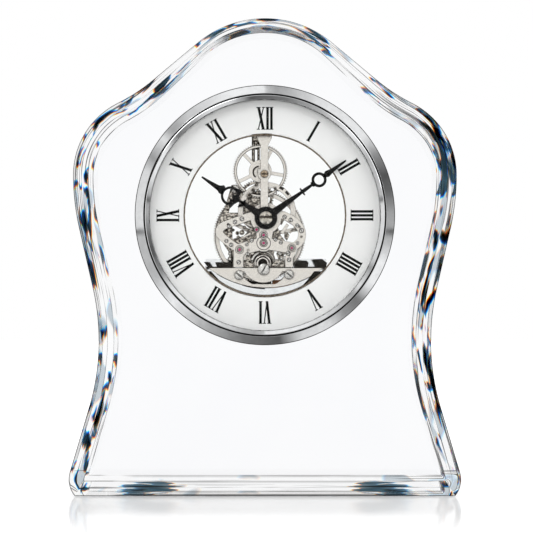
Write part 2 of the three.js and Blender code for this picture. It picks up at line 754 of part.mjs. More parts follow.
function topArborSolid() {
  const arbor = turned([
    [0, topLayer.front - 1.2],
    [1.4, topLayer.front - 1.2],
    [1.4, topLayer.front - 0.1],
    [ARBOR_RADIUS, topLayer.front - 0.1],
    [ARBOR_RADIUS, knobFront + 2],
    [0, knobFront + 2],
  ], top, 12);
  return join(arbor, pinion(TOP_GEAR_TEETH, TRAIN_MODULE, topGearPhase, top, idlerLayer.front,
    idlerLayer.back));
}

function settingKnob() {
  const radius = 5;
  const grips = 20;
  const outline = [];
  for (let i = 0; i < grips; i++) {
    [[0.25, radius], [0.75, radius - 0.5]].forEach(([share, r]) => {
      outline.push(polar(r, (-360 * (i + share)) / grips, top));
    });
  }
  const body = slab(vectors(outline), knobFront, knobEnd);
  return cut(body, disc(ARBOR_RADIUS + FIT, knobFront - 1, knobFront + 2 + FIT, top, 12));
}

add("top_arbor", topArborSolid(), steel);
add("top_wheel", gear(TOP_TEETH, TRAIN_MODULE, 0, top, topLayer, ARBOR_RADIUS + FIT,
  spokeWindows(5, 1.8, 5.8, 11.9, rad(28), top)), nickel);
add("setting_knob", settingKnob(), blackPlastic);

// Fly pinion on the rim of the top wheel

function flySolid() {
  const arbor = turned([
    [0, topLayer.front - 0.3],
    [ARBOR_RADIUS, topLayer.front - 0.3],
    [ARBOR_RADIUS, rearLayer.front - 0.1],
    [PIVOT_RADIUS, rearLayer.front - 0.1],
    [PIVOT_RADIUS, rearLayer.back - 0.1],
    [0, rearLayer.back - 0.1],
  ], fly, 12);
  return join(arbor, pinion(FLY_TEETH, TRAIN_MODULE, flyPhase, fly, topLayer.front,
    topLayer.back));
}

add("fly_pinion", flySolid(), steel);

// Great wheel behind the rear plate, with its long pinion

function greatArborSolid() {
  const arbor = turned([
    [0, centreLayer.front - 0.4],
    [ARBOR_RADIUS, centreLayer.front - 0.4],
    [ARBOR_RADIUS, cockLayer.front - 0.1],
    [PIVOT_RADIUS, cockLayer.front - 0.1],
    [PIVOT_RADIUS, cockLayer.back],
    [0, cockLayer.back],
  ], great, 12);
  return join(arbor, pinion(GREAT_PINION_TEETH, TRAIN_MODULE, greatPinionPhase, great,
    centreLayer.front - 0.2, centreLayer.back + 0.2));
}

add("great_arbor", greatArborSolid(), steel);
add("great_wheel", gear(GREAT_TEETH, TRAIN_MODULE, 0, great, greatLayer, ARBOR_RADIUS + FIT,
  spokeWindows(5, 2, 4, 20.6, rad(8), great)), nickel);

// Barrel wheel and its stepped drum

function barrelSolid() {
  const drum = turned([
    [0, minuteLayer.front],
    [4.1, minuteLayer.front],
    [4.5, minuteLayer.front + 0.4],
    [4.5, minuteLayer.back],
    [5.2, minuteLayer.back],
    [5.2, centreLayer.front],
    [1.6, centreLayer.front],
    [1.6, rearLayer.front - 0.2],
    [ARBOR_RADIUS, rearLayer.front - 0.2],
    [ARBOR_RADIUS, rearLayer.back - 0.1],
    [0, rearLayer.back - 0.1],
  ], barrel, 24);
  const windows = spokeWindows(5, 1.5, 5.9, 9.2, rad(16), barrel);
  return join(drum, gear(BARREL_TEETH, TRAIN_MODULE, barrelPhase, barrel, centreLayer, 0, windows));
}

add("barrel_wheel", barrelSolid(), nickel);

// Motor: a closed housing with its coil beside it and the output pinion in front

const motorBack = cockLayer.back + 5;
const wallFront = motorBack + FIT;
const wallBack = wallFront + 1.6;

function motorPinion() {
  const arbor = turned([
    [0, greatLayer.front],
    [ARBOR_RADIUS * 0.8, greatLayer.front],
    [ARBOR_RADIUS * 0.8, cockLayer.front + 0.6],
    [0, cockLayer.front + 0.6],
  ], motor, 8);
  return join(arbor, pinion(MOTOR_TEETH, TRAIN_MODULE, motorPhase, motor, greatLayer.front,
    greatLayer.back));
}

function motorHousing() {
  const front = greatLayer.back + LAYER_GAP;
  const body = block(motor[0] - 6, motor[0] + 6, front, motorBack, motor[1] - 5, motor[1] + 5.5);
  const socket = disc(ARBOR_RADIUS * 0.8 + FIT, front - 1, cockLayer.front + 0.6 + FIT, motor, 8);
  return cut(body, socket);
}

function motorCoil() {
  const axisX = motor[0] + 6.5;
  const middle = (greatLayer.back + motorBack) / 2 + 0.6;
  const profile = [[0, 0], [3, 0], [3, 0.8], [2.3, 0.8], [2.3, 9.2], [3, 9.2], [3, 10], [0, 10]];
  const coil = turned(profile, [0, 0], 16).rotateZ(-Math.PI / 2);
  return coil.translate(axisX, middle, motor[1]);
}

add("motor_pinion", motorPinion(), steel);
add("motor_housing", motorHousing(), blackPlastic);
add("motor_coil", motorCoil(), copper);

// Front post, hung from the block behind the top of the dial

const postX = -0.75;
const blockFoot = APERTURE_RADIUS + APERTURE_RIM + 3;
const blockTop = Math.sqrt(innerRadius ** 2 - 81) - FIT;

function frontPost() {
  const { front, back } = postLayer;
  const half = POST_WIDTH / 2;
  const flare = POST_FLARE_WIDTH / 2;
  const bar = vectors([
    [postX - half, 0],
    [postX - half, APERTURE_RADIUS - 3.6],
    [postX - flare, APERTURE_RADIUS + 0.2],
    [postX - flare, blockFoot + 4],
    [postX + flare, blockFoot + 4],
    [postX + flare, APERTURE_RADIUS + 0.2],
    [postX + half, APERTURE_RADIUS - 3.6],
    [postX + half, 0],
  ].reverse());
  const eye = hourTubeRadius + PIVOT_FIT;
  return cut(
    join(
      slab(bar, front, back),
      disc(POST_LOBE_RADIUS, front, back, [postX, POST_LOBE_HEIGHT], 20),
      disc(eye + 1.8, front, back, centre, 24),
    ),
    disc(eye, front - 1, back + 1, centre, 16),
    disc(1, front - 1, back + 1, [postX, POST_LOBE_HEIGHT], 12),
    disc(1, front - 1, back + 1, [postX, blockFoot + 1.8], 12),
  );
}

function rearPost() {
  const { front, back } = rearLayer;
  const barX = -5.2;
  const width = 4;
  const head = block(-8.5, 4.5, postLayer.back + FIT, back, blockFoot, blockTop);
  const bar = block(barX - width / 2, barX + width / 2, front, back, 26, blockFoot + 1);
  const slot = block(barX - 0.7, barX + 0.9, front - 1, back + 1, 28.8, 35);
  const foot = arm([barX, 27], 2, top, 3, front, back);
  return cut(
    join(head, bar, foot),
    slot,
    disc(ARBOR_RADIUS + PIVOT_FIT, front - 1, back + 1, top, 12),
    disc(1, postLayer.back - 1, postLayer.back + 5, [postX, blockFoot + 1.8], 12),
  );
}

add("front_post", frontPost(), nickel);
add("rear_post", rearPost(), nickel);

// Front bridge: a hub disc, a jewelled boss, two curved wings and two legs

const boss = [-1.15, -12.55];
const leftSeat = [-13.25, -15.9];
const rightSeat = [13, -15.05];
const jewelPlaces = [minuteArbor, boss, leftSeat, rightSeat, [-4.7, -5.8]];
const jewelRadius = 1.15;
const jewelBore = PIVOT_RADIUS + 0.25;
const wingWidth = 4;
const leftWing = [leftSeat, [-18.8, -12.2], [-23.4, -7.8], [-22, -4.3], [-15.8, -1.9], [-8, 0.9],
  [-2, 2.2]];
const rightWing = [[3, 3], [9, 1.4], [14.5, -1.8], [18, -6.4], [17.4, -11.6], rightSeat];

// One leg, from under its jewel down to the platform
function leg(seat, x0, x1, front, back) {
  const foot = PLATFORM_TOP + FIT;
  const middle = [(x0 + x1) / 2, -20];
  return join(
    arm(seat, 2.9, middle, (x1 - x0) / 2, front, back),
    block(x0, x1, front, back, foot, middle[1]),
  );
}

const leftLeg = [-16.4, -11.4];
const rightLeg = [9.7, 13.7];

function frontBridge() {
  const { front, back } = bridgeLayer;
  const body = join(
    disc(HUB_DISC_RADIUS, front, back, centre, 36),
    disc(4.4, front, back, boss, 24),
    arm(centre, 5, boss, 3.6, front, back),
    arm(boss, 3.2, leftSeat, 3, front, back),
    arm(boss, 3, rightSeat, 2.9, front, back),
    ribbon(leftWing, wingWidth, wingWidth, front, back, 22),
    ribbon(rightWing, wingWidth, wingWidth, front, back, 18),
    leg(leftSeat, ...leftLeg, front, back),
    leg(rightSeat, ...rightLeg, front, back),
  );
  const perforations = [
    [-20.1, -11.3], [-17.2, -13.6], [-19, -3.2], [-12.4, -0.6], [-8.6, -11.9], [-8.9, -16.2],
    [4.9, -10.6], [7.4, -12.4], [12.4, -0.4], [16.9, -4.4], [17.9, -9.4], [11.6, -18.6],
  ];
  const drill = (radius, place, steps) => disc(radius, front - 1, back + 1, place, steps);
  return cut(
    body,
    drill(hourTubeRadius + PIVOT_FIT, centre, 20),
    ...jewelPlaces.map((place) => drill(jewelRadius + FIT, place, 14)),
    ...perforations.map((place) => drill(0.6, place, 8)),
  );
}

add("front_bridge", frontBridge(), nickel);

jewelPlaces.forEach((place, i) => {
  const { front, back } = bridgeLayer;
  const stone = turned([
    [jewelBore, front],
    [jewelRadius - 0.15, front],
    [jewelRadius, front + 0.15],
    [jewelRadius, back],
    [jewelBore, back],
  ], place, 12);
  add(`jewel_${i + 1}`, stone, ruby);
});

// Ring bridge: an open ring round the hub

const ringFrom = -113;
const ringTo = 113;

function ringBridge() {
  const { front, back } = ringLayer;
  const at = [RING_X, RING_Z];
  const steps = 32;
  const points = [];
  for (let i = 0; i <= steps; i++) {
    points.push(polar(RING_RADIUS, ringTo + ((ringFrom - ringTo) * i) / steps, at));
  }
  for (let i = 0; i <= steps; i++) {
    points.push(polar(RING_RADIUS - RING_WIDTH, ringFrom + ((ringTo - ringFrom) * i) / steps, at));
  }
  const stand = (angle) => disc(1.25, bridgeLayer.back + FIT, back - 0.2,
    polar(RING_RADIUS - RING_WIDTH / 2, angle, at), 12);
  return join(slab(vectors(points), front, back), stand(ringFrom + 5), stand(ringTo - 5));
}

add("ring_bridge", ringBridge(), nickel);

// Rear plate: arms from the hub to every arbor, and two legs

function rearPlate() {
  const { front, back } = rearLayer;
  const foot = PLATFORM_TOP + FIT;
  const outline = [
    [-17.5, 17], [-13.8, 17.4], [-11.6, 12.6], [-8, 13], [-3.4, 13], [-1.6, 9.4], [4, 6],
    [9, 2.6], [15, -1.6], [18.6, -6], [18.4, -10.4], [13.9, -19], [13.9, foot], [9.9, foot],
    [9.9, -18], [4.4, -16.6], [2.6, -24.6], [-4.6, -24.6], [-5.4, -17.4], [-5.8, -13],
    [-9.6, -13], [-11, -17.4], [-13.2, -19], [-13.2, foot], [-17.6, foot], [-17.6, -19],
    [-21.4, -13.4], [-23.8, -8], [-24.8, -3], [-22, 2.6], [-20, 8.6],
  ];
  const rightWindow = [
    [9.5, -0.9], [13.5, -3.4], [16.5, -6.9], [16.5, -11.4], [13.5, -12.9], [11, -12.9],
    [7.5, -8.4], [6, -4.2],
  ];
  const leftWindow = [[-17, -3.9], [-11.4, -2.4], [-8, -5.4], [-11.4, -8.9], [-17, -10.4]];
  const upperWindow = [[-17.6, 9.6], [-13.4, 9.6], [-11.4, 3], [-18.8, 3]];
  const pivot = (place) => circle(PIVOT_RADIUS + PIVOT_FIT, place, 10);
  const bearing = (place) => circle(ARBOR_RADIUS + PIVOT_FIT, place, 14);
  const holes = [
    vectors(rightWindow),
    vectors(leftWindow),
    vectors(upperWindow),
    ...[centre, idler, fly].map(pivot),
    ...[great, barrel].map(bearing),
  ];
  return slab(vectors(outline), front, back, holes);
}

add("rear_plate", rearPlate(), nickel);

// Pillars between the front bridge and the rear plate

const pillarPlaces = [[-22.4, -6.6], [17, -12.6], [-14, -21.6], [11.9, -21.6]];
pillarPlaces.forEach((place, i) => {
  add(`pillar_${i + 1}`, disc(PILLAR_RADIUS, bridgeLayer.back + FIT, rearLayer.front - FIT,
    place, 12), steel);
});

// Platform: a segment plate with a window over the barrel wheel, and the base behind it

const plateRadius = (PLATFORM_HALF_WIDTH ** 2 + PLATFORM_SAG ** 2) / (2 * PLATFORM_SAG);
const plateCentreZ = PLATFORM_TOP - PLATFORM_SAG + plateRadius;
const plateLayer = { front: bridgeLayer.front, back: bridgeLayer.back };
const plateScrews = [[-13.4, -28.8], [11.7, -28.5]];
const bossScrew = [-1.1, -25.8];
const nosePlace = [-1.6, -22.8];

// An arc of the platform's lower edge, from one x to another
function lowerArc(radius, centreZ, fromX, toX, steps) {
  const a = Math.asin(fromX / radius);
  const b = Math.asin(toX / radius);
  const points = [];
  for (let i = 0; i <= steps; i++) {
    const t = a + ((b - a) * i) / steps;
    points.push([radius * Math.sin(t), centreZ - radius * Math.cos(t)]);
  }
  return points;
}

function segmentPlate() {
  const { front, back } = plateLayer;
  const edge = lowerArc(plateRadius, plateCentreZ, -PLATFORM_HALF_WIDTH, PLATFORM_HALF_WIDTH, 24);
  const body = slab(vectors(edge), front, back);
  const through = (radius, place, steps) => disc(radius, front - 1, back + 1, place, steps);
  const opening = solid(block(WINDOW_LEFT, WINDOW_RIGHT, front - 1, back + 1, WINDOW_FOOT,
    PLATFORM_TOP - WINDOW_BAND));
  const lobe = solid(through(LOBE_RADIUS, [barrel[0] - 0.3, barrel[1]], 48));
  const rounding = solid(through(WINDOW_ROUNDING, [barrel[0], barrel[1] + 0.5], 48));
  const window = geometryOf(opening.intersect(rounding).subtract(lobe));
  return cut(body, window, ...plateScrews.map((place) => through(1.1, place, 12)),
    through(1.1, bossScrew, 12));
}

// A fixed nose over the drum, seated on the edge of the plate
function drumNose() {
  const front = bridgeLayer.front;
  const back = hourLayer.back;
  const nose = turned([
    [0, back - 0.5],
    [DRUM_MOUTH, back - 0.5],
    [DRUM_MOUTH, front],
    [3.1, front],
    [3.1, front + 0.7],
    [4.3, front + 1.1],
    [4.3, back],
    [0, back],
  ], nosePlace, 28);
  return cut(nose, block(-10, 10, front - 1, back + 1, -35, PLATFORM_TOP + 2 * FIT));
}

add("segment_plate", segmentPlate(), nickel);
add("drum_nose", drumNose(), nickel);

function lowerRim() {
  const front = plateLayer.front;
  const bottom = APERTURE_RADIUS - FIT;
  const reach = PLATFORM_HALF_WIDTH - 2;
  const outer = lowerArc(bottom, 0, -reach, reach, 20);
  const inner = lowerArc(plateRadius + FIT, plateCentreZ + HUB_Z, reach - HUB_X, -reach - HUB_X, 20)
    .map(([x, z]) => [x + HUB_X, z]);
  return slab(vectors([...outer, ...inner]), front, plateLayer.back);
}

add("lower_rim", lowerRim(), chrome, insert);

function baseBlock() {
  const reach = PLATFORM_HALF_WIDTH + 2;
  const wall = block(-reach, reach, wallFront, wallBack, -40.6, BASE_TOP);
  const cheek = (side) => {
    const x0 = side > 0 ? 25 : -reach;
    const x1 = side > 0 ? reach : -25;
    const foot = Math.sqrt(innerRadius ** 2 - (reach + HUB_X) ** 2) + HUB_Z - FIT;
    return join(
      block(x0, x1, plateLayer.back + FIT, wallFront + 0.5, -31, PLATFORM_TOP - 1),
      block(x0, x1, 0, wallBack, -foot, -30),
    );
  };
  return join(wall, cheek(1), cheek(-1));
}

add("base_block", baseBlock(), chrome);

// Black rests on the base, either side of the train, seen over the platform's edge
const restLayer = layer(plateLayer.back + FIT, 3.2);

function rest(outlines, foot) {
  const { front, back } = restLayer;
  return join(...outlines.map((outline) => slab(vectors(outline), front, back)),
    block(foot[0], foot[1], front, back, PLATFORM_TOP - 0.6, PLATFORM_TOP + 0.6));
}

add("rest_left", rest([
  [[-31.4, -22.1], [-29.2, -22.1], [-27.1, -25.2], [-28.9, -25.2]],
  [[-25.6, -22.2], [-18.4, -22.3], [-16.8, -23.8], [-16.8, -25.2], [-24.6, -25.2]],
], [-30, -16.8]), blackPlastic);
add("rest_right", rest([
  [[14.6, -22.8], [16, -21.2], [20.6, -21.5], [21.6, -22.6], [21, -25.2], [14.4, -25.2]],
  [[23.6, -20.8], [28.4, -20.6], [30.9, -22.6], [30.2, -25.2], [25.6, -25.2]],
], [14.4, 30]), blackPlastic);

function greatCock() {
  const { front, back } = cockLayer;
  const feet = [[great[0] - 7, -24], [great[0] + 7, -24]];
  const stand = (place) => disc(1.6, back - 0.5, wallFront - FIT, place, 12);
  return cut(
    join(
      arm(great, 2.6, feet[0], 1.8, front, back),
      arm(great, 2.6, feet[1], 1.8, front, back),
      arm(feet[0], 1.8, feet[1], 1.8, front, back),
      ...feet.map(stand),
    ),
    disc(PIVOT_RADIUS + PIVOT_FIT, front - 1, back + 1, great, 8),
  );
}

add("great_cock", greatCock(), nickel);

// Screws: domed heads with a slot

function screw(place, radius, seat, depth, shankRadius, lean = 0) {
  const head = turned([
    [0, seat + depth],
    [shankRadius, seat + depth],
    [shankRadius, seat],
    [radius, seat],
    [radius, seat - 0.5],
    [radius * 0.7, seat - 0.8],
    [0, seat - 0.9],
  ], place, 16);
  const slot = block(-radius - 1, radius + 1, seat - 2, seat - 0.45, -0.3, 0.3);
  return cut(head, slot.rotateY(rad(lean)).translate(place[0], 0, place[1]));
}

add("post_screw", screw([postX, POST_LOBE_HEIGHT], 1.9, postLayer.front - FIT, 1, 0.7), paleGold);
plateScrews.forEach((place, i) => {
  add(`plate_screw_${i + 1}`, screw(place, 2.3, plateLayer.front - FIT, 1.2, 0.8, 40), steel);
});
add("boss_screw", screw(bossScrew, 2.9, plateLayer.front - FIT, 1.2, 0.8, -60), steel);
add("hanger_screw", screw([postX, blockFoot + 1.8], 0.95, postLayer.front + 0.9, 3, 0.6), steel);

// Battery: cell, tray and contacts, low behind the dial

const trayTop = -(APERTURE_RADIUS + APERTURE_RIM + 0.4);
const cellZ = trayTop + 0.15 - CELL_RADIUS;
const cellY = dialBack + FIT + HOLDER_WALL + FIT + CELL_RADIUS;

function batteryTray() {
  const x = CELL_LENGTH / 2 + 1.6;
  const front = dialBack + FIT;
  const back = cellY + CELL_RADIUS;
  const bottom = cellZ - CELL_RADIUS - FIT - HOLDER_WALL;
  const outer = block(-x - HOLDER_WALL, x + HOLDER_WALL, front, back, bottom, trayTop - 6);
  const inner = block(-x, x, front + HOLDER_WALL, back + 1, bottom + HOLDER_WALL, trayTop + 1);
  return cut(outer, inner);
}

function cell() {
  const half = CELL_LENGTH / 2;
  const profile = [
    [0, -half],
    [CELL_RADIUS - 0.4, -half],
    [CELL_RADIUS, -half + 0.4],
    [CELL_RADIUS, half - 1.6],
    [CELL_RADIUS - 0.5, half - 1],
    [1.9, half - 1],
    [1.9, half],
    [0, half],
  ];
  return turned(profile, [0, 0], 24).rotateZ(-Math.PI / 2).translate(0, cellY, cellZ);
}

add("battery_tray", batteryTray(), blackPlastic, insert);
add("battery_cell", cell(), cellJacket, insert);
const contactX = CELL_LENGTH / 2 + FIT;
const contactEnd = CELL_LENGTH / 2 + 1.6 - FIT;
const plus = block(contactX, contactEnd, cellY - 3, cellY + 3, cellZ - 3, cellZ + 3);
const minusLength = contactEnd - contactX;
const minus = turned([[0, 0], [3.6, 0], [2.4, minusLength], [0, minusLength]], [0, 0], 16);
minus.rotateZ(Math.PI / 2).translate(-contactX, cellY, cellZ);
add("contact_plus", plus, steel, insert);
add("contact_minus", minus, steel, insert);

// Rear window, drilled for the setting arbor

const arborHole = circle(ARBOR_RADIUS + 2 * PIVOT_FIT, [top[0] + HUB_X, top[1] + HUB_Z], 16);
add("rear_window", slab(circle(innerRadius, centre, ROUND_STEPS), windowFront, windowBack,
  [arborHole]), clear, insert);

export default clock;
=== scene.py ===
"""Crystal mantel clock: the looks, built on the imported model. Metres, +Z up, dial towards -Y."""
import json
import math

import bpy
import numpy as np
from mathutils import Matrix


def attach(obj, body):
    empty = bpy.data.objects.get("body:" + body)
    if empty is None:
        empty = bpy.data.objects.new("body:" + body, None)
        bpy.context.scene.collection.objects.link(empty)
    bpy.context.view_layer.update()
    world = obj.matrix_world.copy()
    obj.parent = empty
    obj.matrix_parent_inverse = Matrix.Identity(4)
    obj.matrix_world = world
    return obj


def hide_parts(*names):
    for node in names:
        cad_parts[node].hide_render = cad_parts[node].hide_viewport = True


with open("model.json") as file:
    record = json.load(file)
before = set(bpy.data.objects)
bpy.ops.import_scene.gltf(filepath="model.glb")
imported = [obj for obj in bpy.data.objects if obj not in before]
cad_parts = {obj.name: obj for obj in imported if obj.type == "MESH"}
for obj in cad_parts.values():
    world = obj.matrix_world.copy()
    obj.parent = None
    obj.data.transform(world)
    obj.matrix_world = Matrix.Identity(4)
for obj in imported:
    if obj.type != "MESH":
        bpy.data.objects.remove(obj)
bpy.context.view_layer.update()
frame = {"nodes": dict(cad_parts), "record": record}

MM = 0.001
WHITE = (1.0, 1.0, 1.0, 1.0)

# The block and its insert in millimetres. The hub is given from the middle of the insert

INSERT_HEIGHT = 141.0
BODY_HEIGHT = 240.0
FACE = -22.0
REAR = 22.0
HALF_WIDTH = 98.55
CROWN_BEVEL = 4.6
SIDE_BEVEL = 8.2
BEVEL_SPREAD = 55.0
BEVEL_DEPTH = 5.0
BORE_RADIUS = 61.0
DIAL_FRONT = -16.0
HUB = (0.5, 0.0, -1.3)

# The block's outline from crown to foot: arcs by radius and slope in degrees, and straight lengths

CROWN_RADIUS = 52.8
CROWN_SLOPE = 39.85
ROOF_LENGTH = 28.9
NECK_RADIUS = 94.1
NECK_SLOPE = 26.66
SHOULDER_RADIUS = 40.4
FLANK_RADIUS = 120.2
FLANK_SLOPE = 102.84
FLANK_LENGTH = 31.1
WAIST_RADIUS = 117.7
SKIRT_SLOPE = 73.51
SKIRT_LENGTH = 34.1
FOOT_RADIUS = 13.0

# Cut edges: how strongly their painted reflections streak, by the way along the outline from crown to middle
# foot (mm)

STREAKS_FOOT = [(270, .92), (284, .80), (298, .70), (304, .40), (316, .25), (345, .25), (393, .20)]
STREAKS_RIGHT = [(0, .92), (14, .95), (30, .85), (44, .60), (60, .45), (86, .65), (98, .92), (130, 1.),
                 (196, .95), (214, .62), (232, .85), (252, .78), *STREAKS_FOOT]
STREAKS_LEFT = [(0, .95), (22, 1.), (34, .80), (50, .75), (66, .95), (86, .80), (112, .68), (140, .92),
                (176, .90), (190, .85), (222, .85), (240, .92), *STREAKS_FOOT]

# Half the outline's length, a streak's length, and where the foot begins and is full, in mm

HALF_WAY = 393.0
STREAK_LENGTH = 20.0
FOOT_FROM = 314.0
FOOT_FULL = 324.0

# Where a face's two lanes meet, as a share of its width, and each foot patch: its middle and reach,
# in mm from the middle of the foot and in faces across the edge

LANE = 0.44
PATCH_MIDDLE = (59.0, 0.50)
PATCH_REACH = (16.0, 0.54)

# Red, green and blue of a streak: its shift along the outline in mm, the light that still passes
# it, and the noise at which it ends

COLOUR_SPLIT = 0.5
STREAK_COLOURS = [(-COLOUR_SPLIT, 0.06, 0.56), (0.0, 0.12, 0.566), (COLOUR_SPLIT, 0.16, 0.56)]

# Finishes: how wide a gap on metal gets painted shade, the width of the painted dark line along its
# corners and the depth of its grain, in metres, and the refractive index of the crystal

GAP_REACH = 0.003
CORNER_LINE = 0.00042
GRAIN_DEPTH = 0.0001
CRYSTAL_BEND = 1.5

# Crystal rows from the front face round to the bore: 1 for a cut edge, 0 for the clear block

CUT_ROWS = [0, 1, 1, 1, 0, 0]


# Meshes

def piece(name, points, faces, material, body="case", slot=None, replaces=(), sharp=30.0,
          middle=(0.0, 0.0, 0.0)):
    """One closed mesh from points in millimetres round the insert's middle, or round another
    middle given from there, smooth below the sharp angle."""
    mesh = bpy.data.meshes.new(name)
    placed = (np.asarray(points, float) + middle + (0.0, 0.0, INSERT_HEIGHT)) * MM
    mesh.from_pydata(placed.tolist(), [], faces)
    mesh.validate()
    mesh.shade_smooth()
    mesh.set_sharp_from_angle(angle=math.radians(sharp))
    mesh.materials.append(material)
    made = bpy.data.objects.new(name, mesh)
    bpy.context.scene.collection.objects.link(made)
    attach(made, body)
    if replaces:
        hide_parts(*replaces)
    return made


def grid_faces(rows, columns, closed_rows=True):
    """Quads between neighbouring rows of a grid whose columns close on themselves."""
    i, j = np.meshgrid(np.arange(rows if closed_rows else rows - 1), np.arange(columns), indexing="ij")
    a = i * columns + j
    b = i * columns + (j + 1) % columns
    c = (i + 1) % rows * columns + (j + 1) % columns
    d = (i + 1) % rows * columns + j
    return np.stack([a, b, c, d], -1).reshape(-1, 4).tolist()


def turned(name, profile, material, steps=256, **rest):
    """A closed profile of (radius, depth) carried round the insert's axis: x = r sin t,
    z = r cos t."""
    r, y = np.asarray(profile, float).T
    t = np.linspace(0.0, 2.0 * np.pi, steps, endpoint=False)
    points = np.stack([
        r[:, None] * np.sin(t),
        y[:, None] * np.ones_like(t),
        r[:, None] * np.cos(t),
    ], -1).reshape(-1, 3)
    return piece(name, points, grid_faces(len(r), steps), material, **rest)


def plate(outline, front, back):
    """Points and faces of a flat outline (x, z), clockwise from the front, closed to a plate."""
    flat = np.asarray(outline, float)
    n = len(flat)
    points = np.vstack([np.stack([flat[:, 0], np.full(n, y), flat[:, 1]], -1) for y in (front, back)])
    k = np.arange(n)
    side = np.stack([k, k + n, (k + 1) % n + n, (k + 1) % n], -1)[:, ::-1]
    return points, [*side.tolist(), k[::-1].tolist(), (n + k).tolist()]


def band(centre, inner, outer, front, back, start=0.0, end=360.0, steps=48):
    """Points and faces of a flat ring, or of an arc of one, round a centre (x, z)."""
    whole = end - start >= 360.0
    t = np.radians(np.linspace(start, end, steps + (0 if whole else 1), endpoint=not whole))
    corners = [(inner, front), (outer, front), (outer, back), (inner, back)]
    points = np.vstack([
        np.stack([centre[0] + r * np.sin(t), np.full(len(t), y), centre[1] + r * np.cos(t)], -1)
        for r, y in corners
    ])
    n = len(t)
    if whole:
        return points, grid_faces(4, n)
    j = np.arange(n - 1)
    faces = [
        np.stack([i * n + j, i * n + j + 1, (i + 1) % 4 * n + j + 1, (i + 1) % 4 * n + j], -1).tolist()
        for i in range(4)
    ]
    ends = [[0, n, 2 * n, 3 * n], [4 * n - 1, 3 * n - 1, 2 * n - 1, n - 1]]
    return points, sum(faces, ends)


def built(name, parts, material, **rest):
    """One piece from several closed parts."""
    points = []
    faces = []
    for part_points, part_faces in parts:
        start = len(points)
        points += np.asarray(part_points).tolist()
        faces += [[start + k for k in face] for face in part_faces]
    return piece(name, points, faces, material, **rest)


# Materials

def node_maker(tree):
    """A function that adds a node to the tree. A setting goes to the node, or else to the input
    of its name."""
    def node(kind, **settings):
        added = tree.nodes.new(kind)
        for key, value in settings.items():
            if hasattr(added, key):
                setattr(added, key, value)
            else:
                added.inputs[key.replace("_", " ")].default_value = value
        return added

    return node


def finish(name):
    """A new material with one Principled shader: its shader, its node maker and its linker."""
    made = bpy.data.materials.new(name)
    made.use_nodes = True
    tree = made.node_tree
    return made, tree.nodes["Principled BSDF"], node_maker(tree), tree.links.new


def feed(link, value, socket):
    """Gives a socket a number or a colour of its own, or links another node's output to it."""
    if isinstance(value, (int, float, tuple)):
        socket.default_value = value
    else:
        link(value, socket)


def maths(node, link, operation, *values):
    """One step of arithmetic on numbers and outputs."""
    step = node("ShaderNodeMath", operation=operation)
    for value, socket in zip(values, step.inputs):
        feed(link, value, socket)
    return step.outputs[0]


def mixed(node, link, share, first, second, blend="MIX"):
    """The first colour turned into the second by a share, or blended with it another way."""
    made = node("ShaderNodeMix", data_type="RGBA", blend_type=blend)
    for value, name in ((share, "Factor"), (first, "A"), (second, "B")):
        feed(link, value, made.inputs[name])
    return made.outputs["Result"]


def mixed_shaders(node, link, share, first, second):
    """The first shader turned into the second by a share."""
    made = node("ShaderNodeMixShader")
    for output, socket in zip((share, first, second), made.inputs):
        link(output, socket)
    return made.outputs[0]


def ramp(node, link, source, stops):
    """A colour ramp over source with (position, colour) stops."""
    made = node("ShaderNodeValToRGB")
    link(source, made.inputs["Fac"])
    line = made.color_ramp.elements
    while len(line) < len(stops):
        line.new(0.5)
    for element, (place, colour) in zip(line, stops):
        element.position = place
        element.color = (*colour, 1.0)
    return made.outputs["Color"]


def greys(node, link, source, *stops):
    """A ramp over source with (position, grey tone) stops."""
    return ramp(node, link, source, [(place, (tone,) * 3) for place, tone in stops])


def span(node, link, source, low, high):
    """Source from 0..1 stretched to low..high."""
    made = node("ShaderNodeMapRange", To_Min=low, To_Max=high)
    link(source, made.inputs["Value"])
    return made.outputs["Result"]


def smooth_step(node, link, source, start, end, low=0.0, high=1.0):
    """Low where source is under start, high where it is over end, and smooth between."""
    made = node("ShaderNodeMapRange", interpolation_type="SMOOTHSTEP", From_Min=start, From_Max=end,
                To_Min=low, To_Max=high)
    link(source, made.inputs["Value"])
    return made.outputs["Result"]


def noise(node, link, scale, stretch=(1.0, 1.0, 1.0)):
    """Noise on the object's own coordinates."""
    place = node("ShaderNodeTexCoord")
    turn = node("ShaderNodeMapping")
    turn.inputs["Scale"].default_value = stretch
    link(place.outputs["Object"], turn.inputs["Vector"])
    made = node("ShaderNodeTexNoise", Scale=scale, Detail=3.0)
    link(turn.outputs["Vector"], made.inputs["Vector"])
    return made.outputs["Fac"]


def bump(node, link, height, strength, under=None):
    """The normal that a fine relief gives, over the surface's own or over another one."""
    made = node("ShaderNodeBump", Strength=strength, Distance=GRAIN_DEPTH)
    link(height, made.inputs["Height"])
    if under:
        link(under, made.inputs["Normal"])
    return made.outputs["Normal"]


def painted_dark_corner(node, link, tone, dark):
    """Tone with a painted dark line along the corners, a painted reflection: where the rounded and the flat
    normal part.
    """
    rounded = node("ShaderNodeBevel", samples=8, Radius=CORNER_LINE)
    flat = node("ShaderNodeNewGeometry")
    same = node("ShaderNodeVectorMath", operation="DOT_PRODUCT")
    link(rounded.outputs["Normal"], same.inputs[0])
    link(flat.outputs["Normal"], same.inputs[1])
    clear = greys(node, link, same.outputs["Value"], (0.90, 0.0), (0.985, 1.0))
    return mixed(node, link, clear, (*dark, 1.0), tone)


